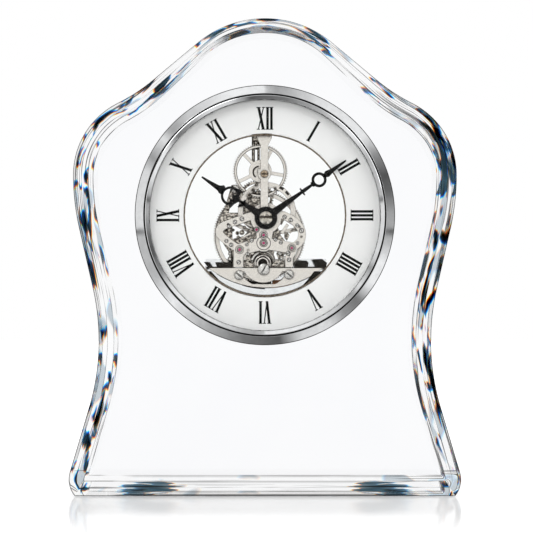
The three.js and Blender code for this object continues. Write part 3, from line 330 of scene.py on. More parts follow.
def metal(name, dark, light, rough_low, rough_high, scale=900.0, stretch=(1.0, 1.0, 1.0), relief=0.05,
          edge=0.0, shade=None, reach=(0.35, 0.65)):
    """Metal whose tone and gloss wander over fine noise. edge rounds its corners for the light,
    in metres, and shade is the tone of the painted shade it takes on in narrow gaps and of the
    painted dark reflection along its corners. The tone goes from dark to light over the noise's reach."""
    made, shader, node, link = finish(name)
    shader.inputs["Metallic"].default_value = 1.0
    fine = noise(node, link, scale, stretch)
    tone = ramp(node, link, fine, [(reach[0], dark), (reach[1], light)])
    if shade:
        # Painted shade: darker in narrow gaps by occlusion, and a painted dark reflection along the corners
        gap = node("ShaderNodeAmbientOcclusion", samples=6, Distance=GAP_REACH)
        open_share = greys(node, link, gap.outputs["AO"], (0.48, 0.0), (0.86, 1.0))
        tone = painted_dark_corner(node, link, mixed(node, link, open_share, (*shade, 1.0), tone), shade)
    link(tone, shader.inputs["Base Color"])
    link(span(node, link, fine, rough_low, rough_high), shader.inputs["Roughness"])
    under = node("ShaderNodeBevel", samples=6, Radius=edge).outputs["Normal"] if edge else None
    link(bump(node, link, fine, relief, under), shader.inputs["Normal"])
    return made


def paint(name, dark, light, rough_low, rough_high, scale=500.0, relief=0.05, metallic=0.0, shine=0.5):
    """Paint or plastic with a fine uneven surface."""
    made, shader, node, link = finish(name)
    shader.inputs["Specular IOR Level"].default_value = shine
    shader.inputs["Metallic"].default_value = metallic
    fine = noise(node, link, scale)
    link(ramp(node, link, fine, [(0.3, dark), (0.7, light)]), shader.inputs["Base Color"])
    link(span(node, link, fine, rough_low, rough_high), shader.inputs["Roughness"])
    link(bump(node, link, fine, relief), shader.inputs["Normal"])
    return made


def let_lamps_through(made, node, link, glass, clear):
    """Glass for what is seen, and a clear tint for the light that lamps send through it."""
    light = node("ShaderNodeLightPath")
    passing = node("ShaderNodeBsdfTransparent", Color=clear)
    both = mixed_shaders(node, link, light.outputs["Is Shadow Ray"], glass.outputs[0], passing.outputs[0])
    link(both, made.node_tree.nodes["Material Output"].inputs["Surface"])


def crystal_finish(name):
    """Clear lead crystal: its material, its Glass shader, its node maker and its linker."""
    made, shader, node, link = finish(name)
    made.node_tree.nodes.remove(shader)
    glass = node("ShaderNodeBsdfGlass", Roughness=0.0, IOR=CRYSTAL_BEND)
    let_lamps_through(made, node, link, glass, (0.95, 0.96, 0.97, 1.0))
    return made, glass, node, link


def tinted_crystal():
    """Lead crystal with the faintest cool cast, which wanders through the block."""
    made, glass, node, link = crystal_finish("lead_crystal")
    cast = ramp(node, link, noise(node, link, 25.0),
                [(0.35, (0.978, 0.981, 0.990)), (0.65, (0.986, 0.988, 0.993))])
    link(cast, glass.inputs["Color"])
    return made


class PaintedEdgeLight:
    """Painted light in the cut edges' glass colour: dark and steel-blue streaks, pale cores, lines and
    foot patches that stand for the reflections and bent light the edges show. Their map runs in mm
    along the outline and one unit per cut face across it, and each face has two lanes. Their noise
    runs round a circle as long as the outline, so that it closes on itself."""

    def __init__(self, node, link):
        self.node = node
        self.link = link
        split = node("ShaderNodeSeparateXYZ")
        link(node("ShaderNodeUVMap", uv_map="along_edge").outputs["UV"], split.inputs[0])
        self.along, self.across, _ = split.outputs
        self.face = self.work("FLOOR", self.across)
        self.share = self.work("FRACT", self.across)
        outer = self.work("GREATER_THAN", self.share, LANE)
        self.lane = self.work("MULTIPLY_ADD", self.face, 2.0, outer)
        lane_start = self.work("MULTIPLY", outer, LANE)
        lane_width = self.work("MULTIPLY_ADD", outer, 1.0 - 2.0 * LANE, LANE)
        self.inside = self.work("DIVIDE", self.work("SUBTRACT", self.share, lane_start), lane_width)
        strength = node("ShaderNodeAttribute", attribute_name="streak").outputs["Fac"]
        self.calm = self.work("MULTIPLY_ADD", strength, -0.34, 0.34)
        self.fading = self.lane_fading()
        self.foot = smooth_step(node, link, self.work("ABSOLUTE", self.along), FOOT_FROM, FOOT_FULL)
        self.pale_cores = self.grey(self.lane_noise(self.along, 34.0, 4.9, 20.0, 1.0, 0.0),
                                    (0.42, 0.0), (0.58, 1.0))

    def work(self, operation, *values):
        return maths(self.node, self.link, operation, *values)

    def grey(self, source, *stops):
        return greys(self.node, self.link, source, *stops)

    def vector(self, x, y, z):
        made = self.node("ShaderNodeCombineXYZ")
        for value, socket in zip((x, y, z), made.inputs):
            feed(self.link, value, socket)
        return made.outputs[0]

    def grown(self, at, detail, bend):
        """Noise at a point, with its edges bent."""
        made = self.node("ShaderNodeTexNoise", Scale=1.0, Detail=detail, Roughness=0.5, Distortion=bend)
        self.link(at, made.inputs["Vector"])
        return made.outputs["Fac"]

    def round_noise(self, way, length, aside, detail, bend):
        """Noise whose features are about length long in mm, at a way along the outline: x and y
        are the circle's radius times the sine and cosine of the turn, and z lies aside of it."""
        radius = HALF_WAY / math.pi
        turn = self.work("DIVIDE", way, radius)
        size = radius / length
        x, y = (self.work("MULTIPLY", self.work(curve, turn), size) for curve in ("SINE", "COSINE"))
        return self.grown(self.vector(x, y, aside), detail, bend)

    def lane_noise(self, way, length, apart, aside, detail, bend):
        """Round noise that differs from lane to lane."""
        return self.round_noise(way, length, self.work("MULTIPLY_ADD", self.lane, apart, aside), detail, bend)

    def lane_fading(self):
        """How far shapes fade: on calm stretches, towards a lane's borders and on the side face."""
        border = self.work("ABSOLUTE", self.work("MULTIPLY_ADD", self.inside, 2.0, -1.0))
        fading = self.work("MULTIPLY_ADD", self.work("POWER", border, 4.0), 0.05, self.calm)
        return self.work("MULTIPLY_ADD", self.work("COMPARE", self.face, 1.0, 0.1), 0.07, fading)

    def paler_foot(self, tone, least):
        """The tone, and at least this pale on the foot."""
        return self.work("MAXIMUM", tone, self.work("MULTIPLY", self.foot, least))

    def threads(self):
        """Fine lines along the edges."""
        lines = self.round_noise(self.along, 60.0, self.work("MULTIPLY", self.across, 9.0), 2.0, 0.2)
        return self.paler_foot(self.grey(lines, (0.36, 0.22), (0.41, 1.0)), 0.8)

    def corner_lines(self):
        """A dark line along each corner of the block: broken between bevel and front or back,
        unbroken between bevel and side, and wider on the foot."""
        corner = self.work("FLOOR", self.work("ADD", self.across, 0.5))
        gaps = self.round_noise(self.along, 24.0, self.work("MULTIPLY_ADD", corner, 3.7, 8.0), 2.0, 0.0)
        drawn = self.grey(gaps, (0.40, 0.0), (0.56, 1.0))
        drawn = self.work("ADD", self.work("MULTIPLY", drawn, self.work("SUBTRACT", 1.0, self.foot)),
                          self.work("MULTIPLY", self.foot, 0.4))
        side = self.work("LESS_THAN", self.work("ABSOLUTE", self.work("SUBTRACT", corner, 1.5)), 1.0)
        drawn = self.work("MAXIMUM", drawn, side)
        away = self.work("DIVIDE", self.work("PINGPONG", self.across, 0.5),
                         self.work("MULTIPLY_ADD", self.foot, 1.6, 1.0))
        dark = self.work("MULTIPLY", drawn, self.grey(away, (0.025, 0.86), (0.07, 0.0)))
        return self.work("SUBTRACT", 1.0, dark)

    def seam_lines(self):
        """A broken dark line where a face's two lanes meet."""
        away = self.work("ABSOLUTE", self.work("SUBTRACT", self.share, LANE))
        gaps = self.lane_noise(self.along, 18.0, 1.0, 2.0, 1.0, 0.0)
        lines = self.grey(self.work("MULTIPLY_ADD", gaps, 0.16, away), (0.072, 0.12), (0.10, 1.0))
        return self.paler_foot(lines, 0.7)

    def foot_patch(self, shift):
        """A lens near each end of the foot, feathered towards its middle: one less the squared
        distances from its middle, plus noise that is long along the edge."""
        way = self.work("ADD", self.work("SUBTRACT", HALF_WAY, self.work("ABSOLUTE", self.along)), shift)
        lens = 1.0
        for value, middle, reach in zip((way, self.across), PATCH_MIDDLE, PATCH_REACH):
            away = self.work("ABSOLUTE", self.work("DIVIDE", self.work("SUBTRACT", value, middle), reach))
            lens = self.work("SUBTRACT", lens, self.work("POWER", away, 2.0))
        feather = self.grown(self.vector(self.work("DIVIDE", way, 22.0),
                                         self.work("MULTIPLY", self.across, 7.0), 3.0), 2.0, 0.3)
        return self.work("MULTIPLY_ADD", lens, 0.38, self.work("SUBTRACT", feather, 0.14))

    def streaks(self, shift, haze, clear):
        """One colour of the long dark and steel-blue shapes and of the foot patches, shifted along
        the outline. Haze is the light that still passes it, and clear the noise at which it ends."""
        way = self.work("ADD", self.along, shift)
        aside = self.work("ADD", self.inside, 0.08 * shift)
        steel = self.lane_noise(way, 1.5 * STREAK_LENGTH, 3.3, self.work("MULTIPLY", aside, 5.0), 1.0, 0.3)
        shapes = self.lane_noise(way, STREAK_LENGTH, 7.3, self.work("MULTIPLY", aside, 0.75), 2.2, 0.8)
        shape = self.work("MULTIPLY_ADD", steel, 0.10, self.work("ADD", shapes, self.fading))
        ends = self.grey(shape, (0.515, haze), (0.54, haze + 0.12), (clear, 1.0))
        pale = self.work("MULTIPLY", self.pale_cores, self.grey(steel, (0.40, 0.35), (0.60, 1.0)))
        core = self.work("MAXIMUM", self.grey(shape, (0.47, 0.0), (0.52, 1.0)), pale)
        veil = self.lane_noise(way, 1.2 * STREAK_LENGTH, 5.1, self.work("MULTIPLY", aside, 0.5), 1.0, 0.4)
        veil = self.grey(self.work("MULTIPLY_ADD", self.calm, 0.4, veil), (0.40, 0.52 + haze), (0.44, 1.0))
        patch = self.grey(self.foot_patch(shift),
                          (0.47, 1.0), (0.50, haze + 0.12), (0.64, haze), (0.74, 0.02))
        return self.work("MULTIPLY", self.work("MULTIPLY", self.work("MULTIPLY", ends, core), veil), patch)


def cut_edge_finish():
    """The cut edges of lead crystal, with painted reflections in their glass colour: streaks whose ends
    part into blue and orange as painted colour fringes, crossed by threads and by dark lines at corners and
    seams."""
    made, glass, node, link = crystal_finish("crystal_cut_edge")
    painted_edges = PaintedEdgeLight(node, link)
    channels = node("ShaderNodeCombineColor")
    for (shift, haze, clear), socket in zip(STREAK_COLOURS, channels.inputs):
        link(painted_edges.streaks(shift, haze, clear), socket)
    # The glass colour carries painted reflections and painted colour fringes
    tint = channels.outputs[0]
    for lines in (painted_edges.threads(), painted_edges.corner_lines(), painted_edges.seam_lines()):
        tint = mixed(node, link, 1.0, tint, lines, "MULTIPLY")
    link(tint, glass.inputs["Color"])
    return made


def pane_finish():
    """Thin clear glass that lamps shine through."""
    made, shader, node, link = finish("clear_pane")
    shader.inputs["Base Color"].default_value = (0.985, 0.992, 0.99, 1.0)
    shader.inputs["Roughness"].default_value = 0.0
    shader.inputs["IOR"].default_value = 1.1
    shader.inputs["Transmission Weight"].default_value = 1.0
    let_lamps_through(made, node, link, shader, (0.96, 0.97, 0.97, 1.0))
    return made


def gold_with_painted_reflection():
    """Pale gold whose domes carry a painted reflection by the way they face: pale below, a dark band a little
    above their middle, and dark again near the top.
    """
    made, shader, node, link = finish("pale_gold")
    shader.inputs["Metallic"].default_value = 1.0
    fine = noise(node, link, 1200.0)
    link(span(node, link, fine, 0.06, 0.14), shader.inputs["Roughness"])
    link(bump(node, link, fine, 0.05), shader.inputs["Normal"])
    split = node("ShaderNodeSeparateXYZ")
    link(node("ShaderNodeNewGeometry").outputs["Normal"], split.inputs[0])
    height = maths(node, link, "MULTIPLY_ADD", split.outputs["Z"], 0.5, 0.5)
    # Painted reflection: tone by how far the surface faces up
    painted_reflection_bands = ramp(node, link, height, [
        (0.12, (0.60, 0.55, 0.47)), (0.30, (0.95, 0.91, 0.83)), (0.46, (0.88, 0.82, 0.71)),
        (0.50, (0.05, 0.04, 0.03)), (0.56, (0.03, 0.024, 0.02)), (0.61, (0.72, 0.67, 0.59)),
        (0.76, (0.68, 0.63, 0.56)), (0.90, (0.10, 0.085, 0.07))])
    worn = greys(node, link, fine, (0.35, 0.88), (0.65, 1.0))
    link(mixed(node, link, 1.0, painted_reflection_bands, worn, "MULTIPLY"), shader.inputs["Base Color"])
    return made


def ruby_finish():
    """Cloudy red stone under a clear polish."""
    made, shader, node, link = finish("ruby_stone")
    cloud = ramp(node, link, noise(node, link, 1500.0), [(0.3, (0.24, 0.0, 0.06)), (0.7, (0.52, 0.01, 0.13))])
    link(cloud, shader.inputs["Base Color"])
    shader.inputs["Roughness"].default_value = 0.08
    shader.inputs["Coat Weight"].default_value = 0.6
    return made


lead_crystal = tinted_crystal()
cut_edge = cut_edge_finish()
clear_pane = pane_finish()
chrome = metal("bright_chrome", (0.80, 0.81, 0.82), (0.88, 0.89, 0.90), 0.05, 0.10, 300.0, relief=0.015)
# Nickel, steel and screw bronze: shade is the painted shade in their gaps and along their corners
nickel = metal("satin_nickel", (0.66, 0.62, 0.57), (0.86, 0.82, 0.77), 0.16, 0.28, 1200.0,
               (1.0, 1.0, 6.0), edge=0.00025, shade=(0.030, 0.020, 0.013))
# A darker copy of nickel: painted shade for parts that lie deep in the movement
nickel_in_painted_shade = metal("shaded_nickel", (0.05, 0.038, 0.03), (0.70, 0.65, 0.58), 0.14, 0.26, 700.0,
                   (1.0, 1.0, 1.6), edge=0.00025, shade=(0.012, 0.008, 0.005), reach=(0.42, 0.61))
steel = metal("turned_steel", (0.62, 0.60, 0.57), (0.84, 0.82, 0.79), 0.12, 0.24, 2000.0,
              edge=0.0002, shade=(0.02, 0.015, 0.01))
bronze = metal("bronze_edge", (0.11, 0.085, 0.065), (0.22, 0.18, 0.14), 0.2, 0.35)
gold = gold_with_painted_reflection()
screw_bronze = metal("screw_bronze", (0.26, 0.19, 0.13), (0.62, 0.50, 0.38), 0.08, 0.16, 500.0,
                     edge=0.0002, shade=(0.02, 0.013, 0.008))
copper = metal("copper_wire", (0.55, 0.27, 0.15), (0.75, 0.42, 0.26), 0.3, 0.45, 4000.0, (1.0, 1.0, 0.1))
dial_white = paint("dial_silver", (0.838, 0.83, 0.825), (0.868, 0.86, 0.855), 0.35, 0.45, 2500.0, 0.02)
lacquer = paint("black_lacquer", (0.003, 0.003, 0.003), (0.007, 0.007, 0.007), 0.2, 0.35, shine=0.12)
# Flat near-black that stands for shade: painted shade in slots, gaps, grooves and along edges
shadow = paint("painted_shade_black", (0.006, 0.005, 0.004), (0.02, 0.016, 0.012), 0.4, 0.6, shine=0.1)
ink = paint("numeral_ink", (0.004, 0.004, 0.004), (0.010, 0.010, 0.010), 0.4, 0.55, shine=0.05)
plastic = paint("black_plastic", (0.010, 0.008, 0.006), (0.020, 0.017, 0.013), 0.4, 0.6, 1500.0, 0.2,
                shine=0.12)
vinyl = paint("pale_vinyl", (0.80, 0.80, 0.79), (0.88, 0.88, 0.87), 0.45, 0.6)
jacket = paint("cell_jacket", (0.16, 0.17, 0.18), (0.22, 0.23, 0.24), 0.3, 0.4, 200.0, 0.02, 0.4)
ruby = ruby_finish()

NODE_FINISH = {
    "crystal": lead_crystal, "clear_glass": clear_pane, "bright_chrome": chrome, "nickel": nickel,
    "polished_steel": steel, "dial_silver": dial_white, "bronze_edge": bronze,
    "black_lacquer": lacquer, "pale_gold": gold, "ruby": ruby, "copper": copper,
    "black_plastic": plastic, "pale_vinyl": vinyl, "cell_jacket": jacket,
}
# Parts deep behind the front bridge take the darker copy of nickel as painted shade; the post screw takes its
# own bronze
OWN_FINISH_AND_PAINTED_SHADE = {name: nickel_in_painted_shade for name in (
    "rear_plate", "rear_post", "great_cock", "idler_wheel", "motion_wheel", "centre_wheel")}
OWN_FINISH_AND_PAINTED_SHADE["post_screw"] = screw_bronze
for entry in frame["record"]["subparts"]:
    node_object = frame["nodes"][entry["node"]]
    look = OWN_FINISH_AND_PAINTED_SHADE.get(entry["node"], NODE_FINISH[entry["material_slot"]])
    for socket in node_object.material_slots:
        socket.material = look


# Crystal body

def half_outline(inset):
    """Right half of the outline, moved inwards by inset: tangent arcs and lines from crown to foot."""
    points = [(0.0, BODY_HEIGHT - inset)]
    slope = 0.0

    def arc(radius, to_slope, count):
        nonlocal slope
        sign = 1.0 if to_slope > slope else -1.0
        swept = sign * radius - inset
        x, z = points[-1]
        a = math.radians(slope)
        for t in np.radians(np.linspace(slope, to_slope, count + 1)[1:]):
            points.append((x + swept * (math.sin(t) - math.sin(a)), z - swept * (math.cos(a) - math.cos(t))))
        slope = to_slope

    def line(length, count):
        x, z = points[-1]
        for share in np.linspace(0.0, 1.0, count + 1)[1:]:
            points.append((x + share * length * math.cos(math.radians(slope)),
                           z - share * length * math.sin(math.radians(slope))))

    arc(CROWN_RADIUS, CROWN_SLOPE, 24)
    line(ROOF_LENGTH, 10)
    arc(NECK_RADIUS, NECK_SLOPE, 14)
    arc(SHOULDER_RADIUS, 90.0, 34)
    arc(FLANK_RADIUS, FLANK_SLOPE, 18)
    line(FLANK_LENGTH, 10)
    arc(WAIST_RADIUS, SKIRT_SLOPE, 34)
    line(SKIRT_LENGTH, 10)
    foot = FOOT_RADIUS - inset
    centre = points[-1][1] - foot * math.cos(math.radians(slope))
    arc(FOOT_RADIUS, math.degrees(math.acos((inset - centre) / foot)), 14)
    base = points[-1][0]
    for share in np.linspace(0.0, 1.0, 31)[1:-1]:
        points.append((base * (1.0 - share), inset))
    return np.array(points)


def full_outline(inset):
    """The whole outline, clockwise from the crown, round the insert's middle."""
    right = half_outline(inset)
    bottom = np.array([[0.0, inset]])
    left = right[:0:-1] * (-1.0, 1.0)
    return np.vstack([right, bottom, left]) - (0.0, INSERT_HEIGHT)


def crystal_body():
    """Rings of one outline at each edge of the block, and the bore's rim along the same rays.
    The bevels widen from the crown down to the shoulders by a smooth step."""
    outer = full_outline(0.0)
    outer[:, 0] = np.clip(outer[:, 0], -HALF_WIDTH, HALF_WIDTH)
    narrow = full_outline(CROWN_BEVEL)
    share = np.clip((BODY_HEIGHT - INSERT_HEIGHT - narrow[:, 1]) / BEVEL_SPREAD, 0.0, 1.0)[:, None]
    face = narrow + (full_outline(SIDE_BEVEL) - narrow) * share ** 2 * (3.0 - 2.0 * share)
    bore = BORE_RADIUS * face / np.linalg.norm(face, axis=1)[:, None]
    rings = [
        (bore, FACE),
        (face, FACE),
        (outer, FACE + BEVEL_DEPTH),
        (outer, REAR - BEVEL_DEPTH),
        (face, REAR),
        (bore, REAR),
    ]
    points = [np.stack([flat[:, 0], np.full(len(flat), y), flat[:, 1]], -1) for flat, y in rings]
    made = piece("crystal", np.vstack(points), grid_faces(len(rings), len(outer)), lead_crystal,
                 slot="crystal", replaces=("crystal_body",), sharp=12.0)
    made.data.materials.append(cut_edge)
    kind = np.repeat(CUT_ROWS, len(outer))
    made.data.polygons.foreach_set("material_index", kind.astype(np.int32))
    map_cut_edges(made.data, outer)


def map_cut_edges(mesh, outline):
    """A map in mm along the outline, from the crown down both sides, and by cut face across it,
    from the front bevel; and how strongly each point streaks."""
    rows = len(CUT_ROWS)
    columns = len(outline)
    foot = columns // 2
    step = np.linalg.norm(np.roll(outline, -1, axis=0) - outline, axis=1)
    way = np.concatenate([[0.0], np.cumsum(step)])
    way *= 2.0 * HALF_WAY / way[-1]
    step = np.diff(way)
    start = np.where(np.arange(columns) < foot, way[:-1], way[:-1] - way[-1])
    end = start + step
    corners = np.zeros((rows, columns, 4, 2))
    corners[..., 0] = np.stack([start, end, end, start], -1)
    corners[..., 1] = np.arange(rows)[:, None, None] - 1.0 + np.array([0.0, 0.0, 1.0, 1.0])
    layer = mesh.uv_layers.new(name="along_edge")
    layer.data.foreach_set("uv", corners.astype(np.float32).ravel())
    here = way[:-1]
    right = np.interp(here, *np.transpose(STREAKS_RIGHT))
    left = np.interp(way[-1] - here, *np.transpose(STREAKS_LEFT))
    share = np.where(np.arange(columns) < foot, right, left)
    streak = mesh.attributes.new("streak", "FLOAT", "POINT")
    streak.data.foreach_set("value", np.tile(share, rows).astype(np.float32))


crystal_body()

# Bezel: a broad cone within a thin dark rim of painted shade, a black line at its crest and a bright
# step down to the glass, as profiles of radius and depth

BEZEL_RIM = [(64.64, -22.3), (64.64, -23.3), (64.8, -23.35), (65.0, -23.1), (65.0, -22.3)]
BEZEL_CONE = [(64.62, -22.3), (64.62, -23.53), (61.0, -26.1), (60.6, -26.2), (60.6, -22.5),
              (61.0, -22.3)]
BEZEL_LINE = [(60.58, -22.5), (60.58, -25.7), (59.75, -25.6), (59.75, -22.5)]
BEZEL_STEP = [(59.73, -18.3), (59.73, -25.95), (59.5, -26.0), (57.9, -24.9), (57.7, -24.6),
              (57.7, -24.45), (58.9, -24.45), (58.9, -18.3)]

turned("bezel_rim", BEZEL_RIM, shadow, slot="black_lacquer", sharp=40.0)
turned("bezel_cone", BEZEL_CONE, chrome, slot="bright_chrome", replaces=("bezel",), sharp=40.0)
turned("bezel_line", BEZEL_LINE, lacquer, slot="black_lacquer")
turned("bezel_step", BEZEL_STEP, chrome, slot="bright_chrome", sharp=40.0)

# Numerals

NUMERAL_HEIGHT = 11.4
NUMERAL_INNER = 43.1
NUMERAL_PRINT = (DIAL_FRONT - 0.06, DIAL_FRONT + 0.02)
STEM = 1.26
HAIR = 0.54
SERIF = 0.42


def stroke(x0, z0, x1, z1, width):
    """A slanted stroke of level ends, width measured along x."""
    h = width / 2.0
    return [(x0 - h, z0), (x1 - h, z1), (x1 + h, z1), (x0 + h, z0)]


def serif(x, z, width):
    """A flat foot or head of a stroke, from its lower edge up."""
    return [(x - width / 2, z), (x - width / 2, z + SERIF), (x + width / 2, z + SERIF), (x + width / 2, z)]


def letter(sign, x):
    """Strokes of one Roman sign whose left edge is at x, and its advance."""
    top = NUMERAL_HEIGHT
    if sign == "I":
        middle = x + 0.95
        return [stroke(middle, 0, middle, top, STEM), serif(middle, 0, 1.9),
                serif(middle, top - SERIF, 1.9)], 1.95
    if sign == "V":
        return [stroke(x + 2.2, 0, x + 0.95, top, STEM), stroke(x + 2.2, 0, x + 3.55, top, HAIR),
                serif(x + 0.95, top - SERIF, 2.1), serif(x + 3.5, top - SERIF, 1.6)], 4.45
    return [stroke(x + 3.5, 0, x + 1.05, top, STEM + 0.1), stroke(x + 0.95, 0, x + 3.6, top, HAIR),
            serif(x + 1.05, top - SERIF, 2.1), serif(x + 3.55, top - SERIF, 1.6),
            serif(x + 3.5, 0, 2.1), serif(x + 0.95, 0, 1.6)], 4.65


def numeral(hour, signs):
    """The signs side by side, feet towards the hub, turned to their hour."""
    outlines = []
    x = 0.0
    for sign in signs:
        strokes, advance = letter(sign, x)
        outlines += strokes
        x += advance
    a = math.radians(30.0 * hour)
    turn = np.array([[math.cos(a), -math.sin(a)], [math.sin(a), math.cos(a)]])
    placed = [(np.array(o) - (x / 2.0, 0.0) + (0.0, NUMERAL_INNER)) @ turn for o in outlines]
    parts = [plate(o, *NUMERAL_PRINT) for o in placed]
    return built(f"numeral_{hour}", parts, ink, slot="black_lacquer")


SIGNS = ["I", "II", "III", "IIII", "V", "VI", "VII", "VIII", "IX", "X", "XI", "XII"]
for hour, signs in enumerate(SIGNS, 1):
    numeral(hour, signs)

# Small parts of the movement, placed round the hands' axis. A layer or line has a front and a back
# depth, and a disc is a ring with a pinhole

BRIDGE_FRONT = -13.2
RING_FRONT = -9.05
BRIDGE_LINE = (BRIDGE_FRONT - 0.05, BRIDGE_FRONT + 0.05)
RING_MARK = (RING_FRONT - 0.04, RING_FRONT + 0.1)
NOSE_PLATE = (BRIDGE_FRONT + 0.9, BRIDGE_FRONT + 1.1)
COLLAR_LAYER = (BRIDGE_FRONT - 0.14, BRIDGE_FRONT + 0.02)
STONE_LAYER = (BRIDGE_FRONT - 0.24, BRIDGE_FRONT + 0.02)
RIM_LAYER = (-13.26, -13.18)
LIP_LAYER = (-13.26, -13.0)
HOOD_LAYER = (-11.6, -11.2)
DRUM_LAYER = (-11.5, -11.2)
WIRE_LAYER = (-12.1, -11.95)
SPRING_LAYER = (-11.98, -11.4)
TRAIN_LAYER = (-11.4, -10.9)
STUD_HEAD = (-11.4, -10.6)
STUD_SHANK = (-10.6, -9.2)
LOWER_COCK_FRONT = -9.0
LOWER_COCK_LAYER = (LOWER_COCK_FRONT, -8.3)
BAR_LAYER = (-8.5, -8.0)
COCK_LAYER = (-8.4, -7.95)
TOP_WHEEL_LINE = (-6.6, -6.5)
TOP_HUB_LINE = (-6.75, -6.52)
POST_LINE = (-4.2, -4.0)
GREAT_WHEEL_LINE = (-2.3, -2.2)
PINHOLE = 0.02

BRIDGE_SCREWS = [(-12.1, -0.4, 1.2), (-15.6, -2.0, 1.1), (-18.5, -4.2, 1.1), (-19.9, -11.5, 1.0),
                 (-17.5, -13.5, 1.1), (-9.6, -13.3, 0.9), (-7.2, -11.2, 1.1), (-9.3, -18.1, 1.0),
                 (-13.7, -22.2, 1.15), (9.4, 0.6, 1.1), (12.5, -1.0, 1.1), (15.8, -3.7, 1.0),
                 (17.9, -6.3, 1.3), (4.8, -10.8, 1.0), (7.5, -12.3, 1.0), (15.9, -12.6, 0.9),
                 (11.2, -17.7, 1.2), (11.7, -21.0, 1.1)]
JEWEL_SEATS = [(-13.25, -15.9), (13.0, -15.05), (-1.15, -8.52)]
BOSS = (-1.15, -12.55)
LEFT_JEWEL = (-4.7, -5.8)
JEWELS = [*JEWEL_SEATS, BOSS, LEFT_JEWEL]
STONE_RADIUS = 0.64
COLLAR = (0.66, 1.12)
NOSE = (-1.6, -22.8)
TOP_AXIS = (-2.8535, 23.9305)
TOP_HUB = (-3.4, 23.4)
GREAT_AXIS = (-3.292, -8.8047)
INSERT_AXIS = (-0.5, 1.3)
# Where the rear post's dark lines of painted shade stand
POST_SHADE_FOOT = 29.0
POST_SHADE_HEAD = 39.2
POST_SHADE_WIDTH = 0.38


def bar_corners(x, z, half_length, half_width, angle):
    """Corners of a bar round (x, z) whose length points to a clock angle."""
    a = math.radians(angle)
    along = np.array([math.sin(a), math.cos(a)]) * half_length
    aside = np.array([math.cos(a), -math.sin(a)]) * half_width
    return [np.array((x, z)) + c for c in (along + aside, aside - along, -along - aside, along - aside)]


def slanted(x, z, length, width, angle, front, back):
    """Points and faces of a bar round (x, z) whose length points to a clock angle."""
    return plate(bar_corners(x, z, length / 2.0, width / 2.0, angle), front, back)


def small_screws(name, places, front, rise, lean):
    """Low screw heads, each with a painted-shade slot turned by its own angle and a painted-shade gap round
    it.
    """
    heads = []
    dark = []
    for k, (x, z, radius) in enumerate(places):
        crown = front - rise
        heads.append(band((x, z), PINHOLE, radius * 0.8, crown, front - 0.02, steps=20))
        dark.append(band((x, z), radius * 0.8, radius, front - 0.05, front + 0.05, steps=20))
        slot = bar_corners(x, z, radius * 0.76, radius * 0.15, lean * (k + 1) % 180)
        dark.append(plate(slot, crown - 0.03, crown + 0.05))
    built(f"{name}_heads", heads, steel, slot="polished_steel", middle=HUB)
    built(f"{name}_slots", dark, shadow, slot="black_lacquer", middle=HUB)


small_screws("bridge_screw", BRIDGE_SCREWS, BRIDGE_FRONT, 0.22, 67.0)
# Painted shade: dark rings round the jewel seats, the boss and the collars, and a dark disc at the drum's
# mouth
seats = [band(place, 1.95, 2.2, *BRIDGE_LINE, steps=28) for place in JEWEL_SEATS]
seats += [band(BOSS, radius, radius + 0.3, *BRIDGE_LINE, steps=32) for radius in (1.75, 3.3)]
seats += [band(place, COLLAR[1], 1.3, *BRIDGE_LINE, steps=24) for place in JEWEL_SEATS]
seats.append(band(NOSE, PINHOLE, 2.2, *NOSE_PLATE, steps=28))
built("seat_lines", seats, shadow, slot="black_lacquer", middle=HUB)
collars = [band(place, *COLLAR, *COLLAR_LAYER, steps=24) for place in JEWELS]
built("jewel_collars", collars, steel, slot="polished_steel", middle=HUB)
stones = [band(place, PINHOLE, STONE_RADIUS, *STONE_LAYER, steps=20) for place in JEWELS]
built("jewel_stones", stones, ruby, slot="ruby", middle=HUB)
# Painted shade: dark marks on the ring bridge
marks = [
    slanted(10.8, 12.7, 2.3, 1.2, 138.0, *RING_MARK),
    slanted(7.9, 15.2, 2.2, 1.3, 120.0, *RING_MARK),
    slanted(-13.4, 6.4, 2.0, 0.9, 40.0, *RING_MARK),
]
built("ring_marks", marks, shadow, slot="black_lacquer", middle=HUB)

# Studs, bars and cocks between the front bridge and the rear plate; studs and cocks in the darker nickel of
# painted shade

STUDS = [(-14.4, -7.5, 1.0), (-12.1, -7.2, 1.35), (-14.0, -9.6, 0.9), (-16.6, -6.0, 0.8), (-10.9, -4.6, 0.9),
         (-4.9, 17.0, 0.85), (-6.5, 14.3, 0.8), (-8.6, 11.6, 1.1), (4.6, 15.0, 0.7)]
studs = []
for x, z, radius in STUDS:
    studs.append(band((x, z), PINHOLE, radius * 0.55, *STUD_HEAD, steps=20))
    studs.append(band((x, z), PINHOLE, radius, *STUD_SHANK, steps=20))
built("train_studs", studs, nickel_in_painted_shade, slot="nickel", middle=HUB)

bars = [
    slanted(9.5, -5.4, 5.6, 1.6, 214.0, *BAR_LAYER),
    slanted(-9.6, -8.6, 4.4, 1.0, 64.0, *TRAIN_LAYER),
    slanted(-8.2, -3.6, 3.6, 1.1, 118.0, *TRAIN_LAYER),
]
built("train_bars", bars, nickel, slot="nickel", middle=HUB)
cocks = [
    plate([(9.3, -7.1), (10.8, -6.9), (12.0, -8.5), (10.6, -11.5), (9.3, -9.8)], *COCK_LAYER),
    slanted(13.25, -6.15, 3.8, 0.85, 223.0, *COCK_LAYER),
    slanted(7.7, -2.3, 1.7, 1.5, 30.0, *COCK_LAYER),
    slanted(-16.0, 0.9, 2.3, 0.6, 60.0, *TRAIN_LAYER),
    plate([(6.8, -15.0), (9.1, -17.9), (8.1, -20.0), (6.4, -20.9), (5.2, -17.9)], *LOWER_COCK_LAYER),
]
built("train_cocks", cocks, nickel_in_painted_shade, slot="nickel", middle=HUB)
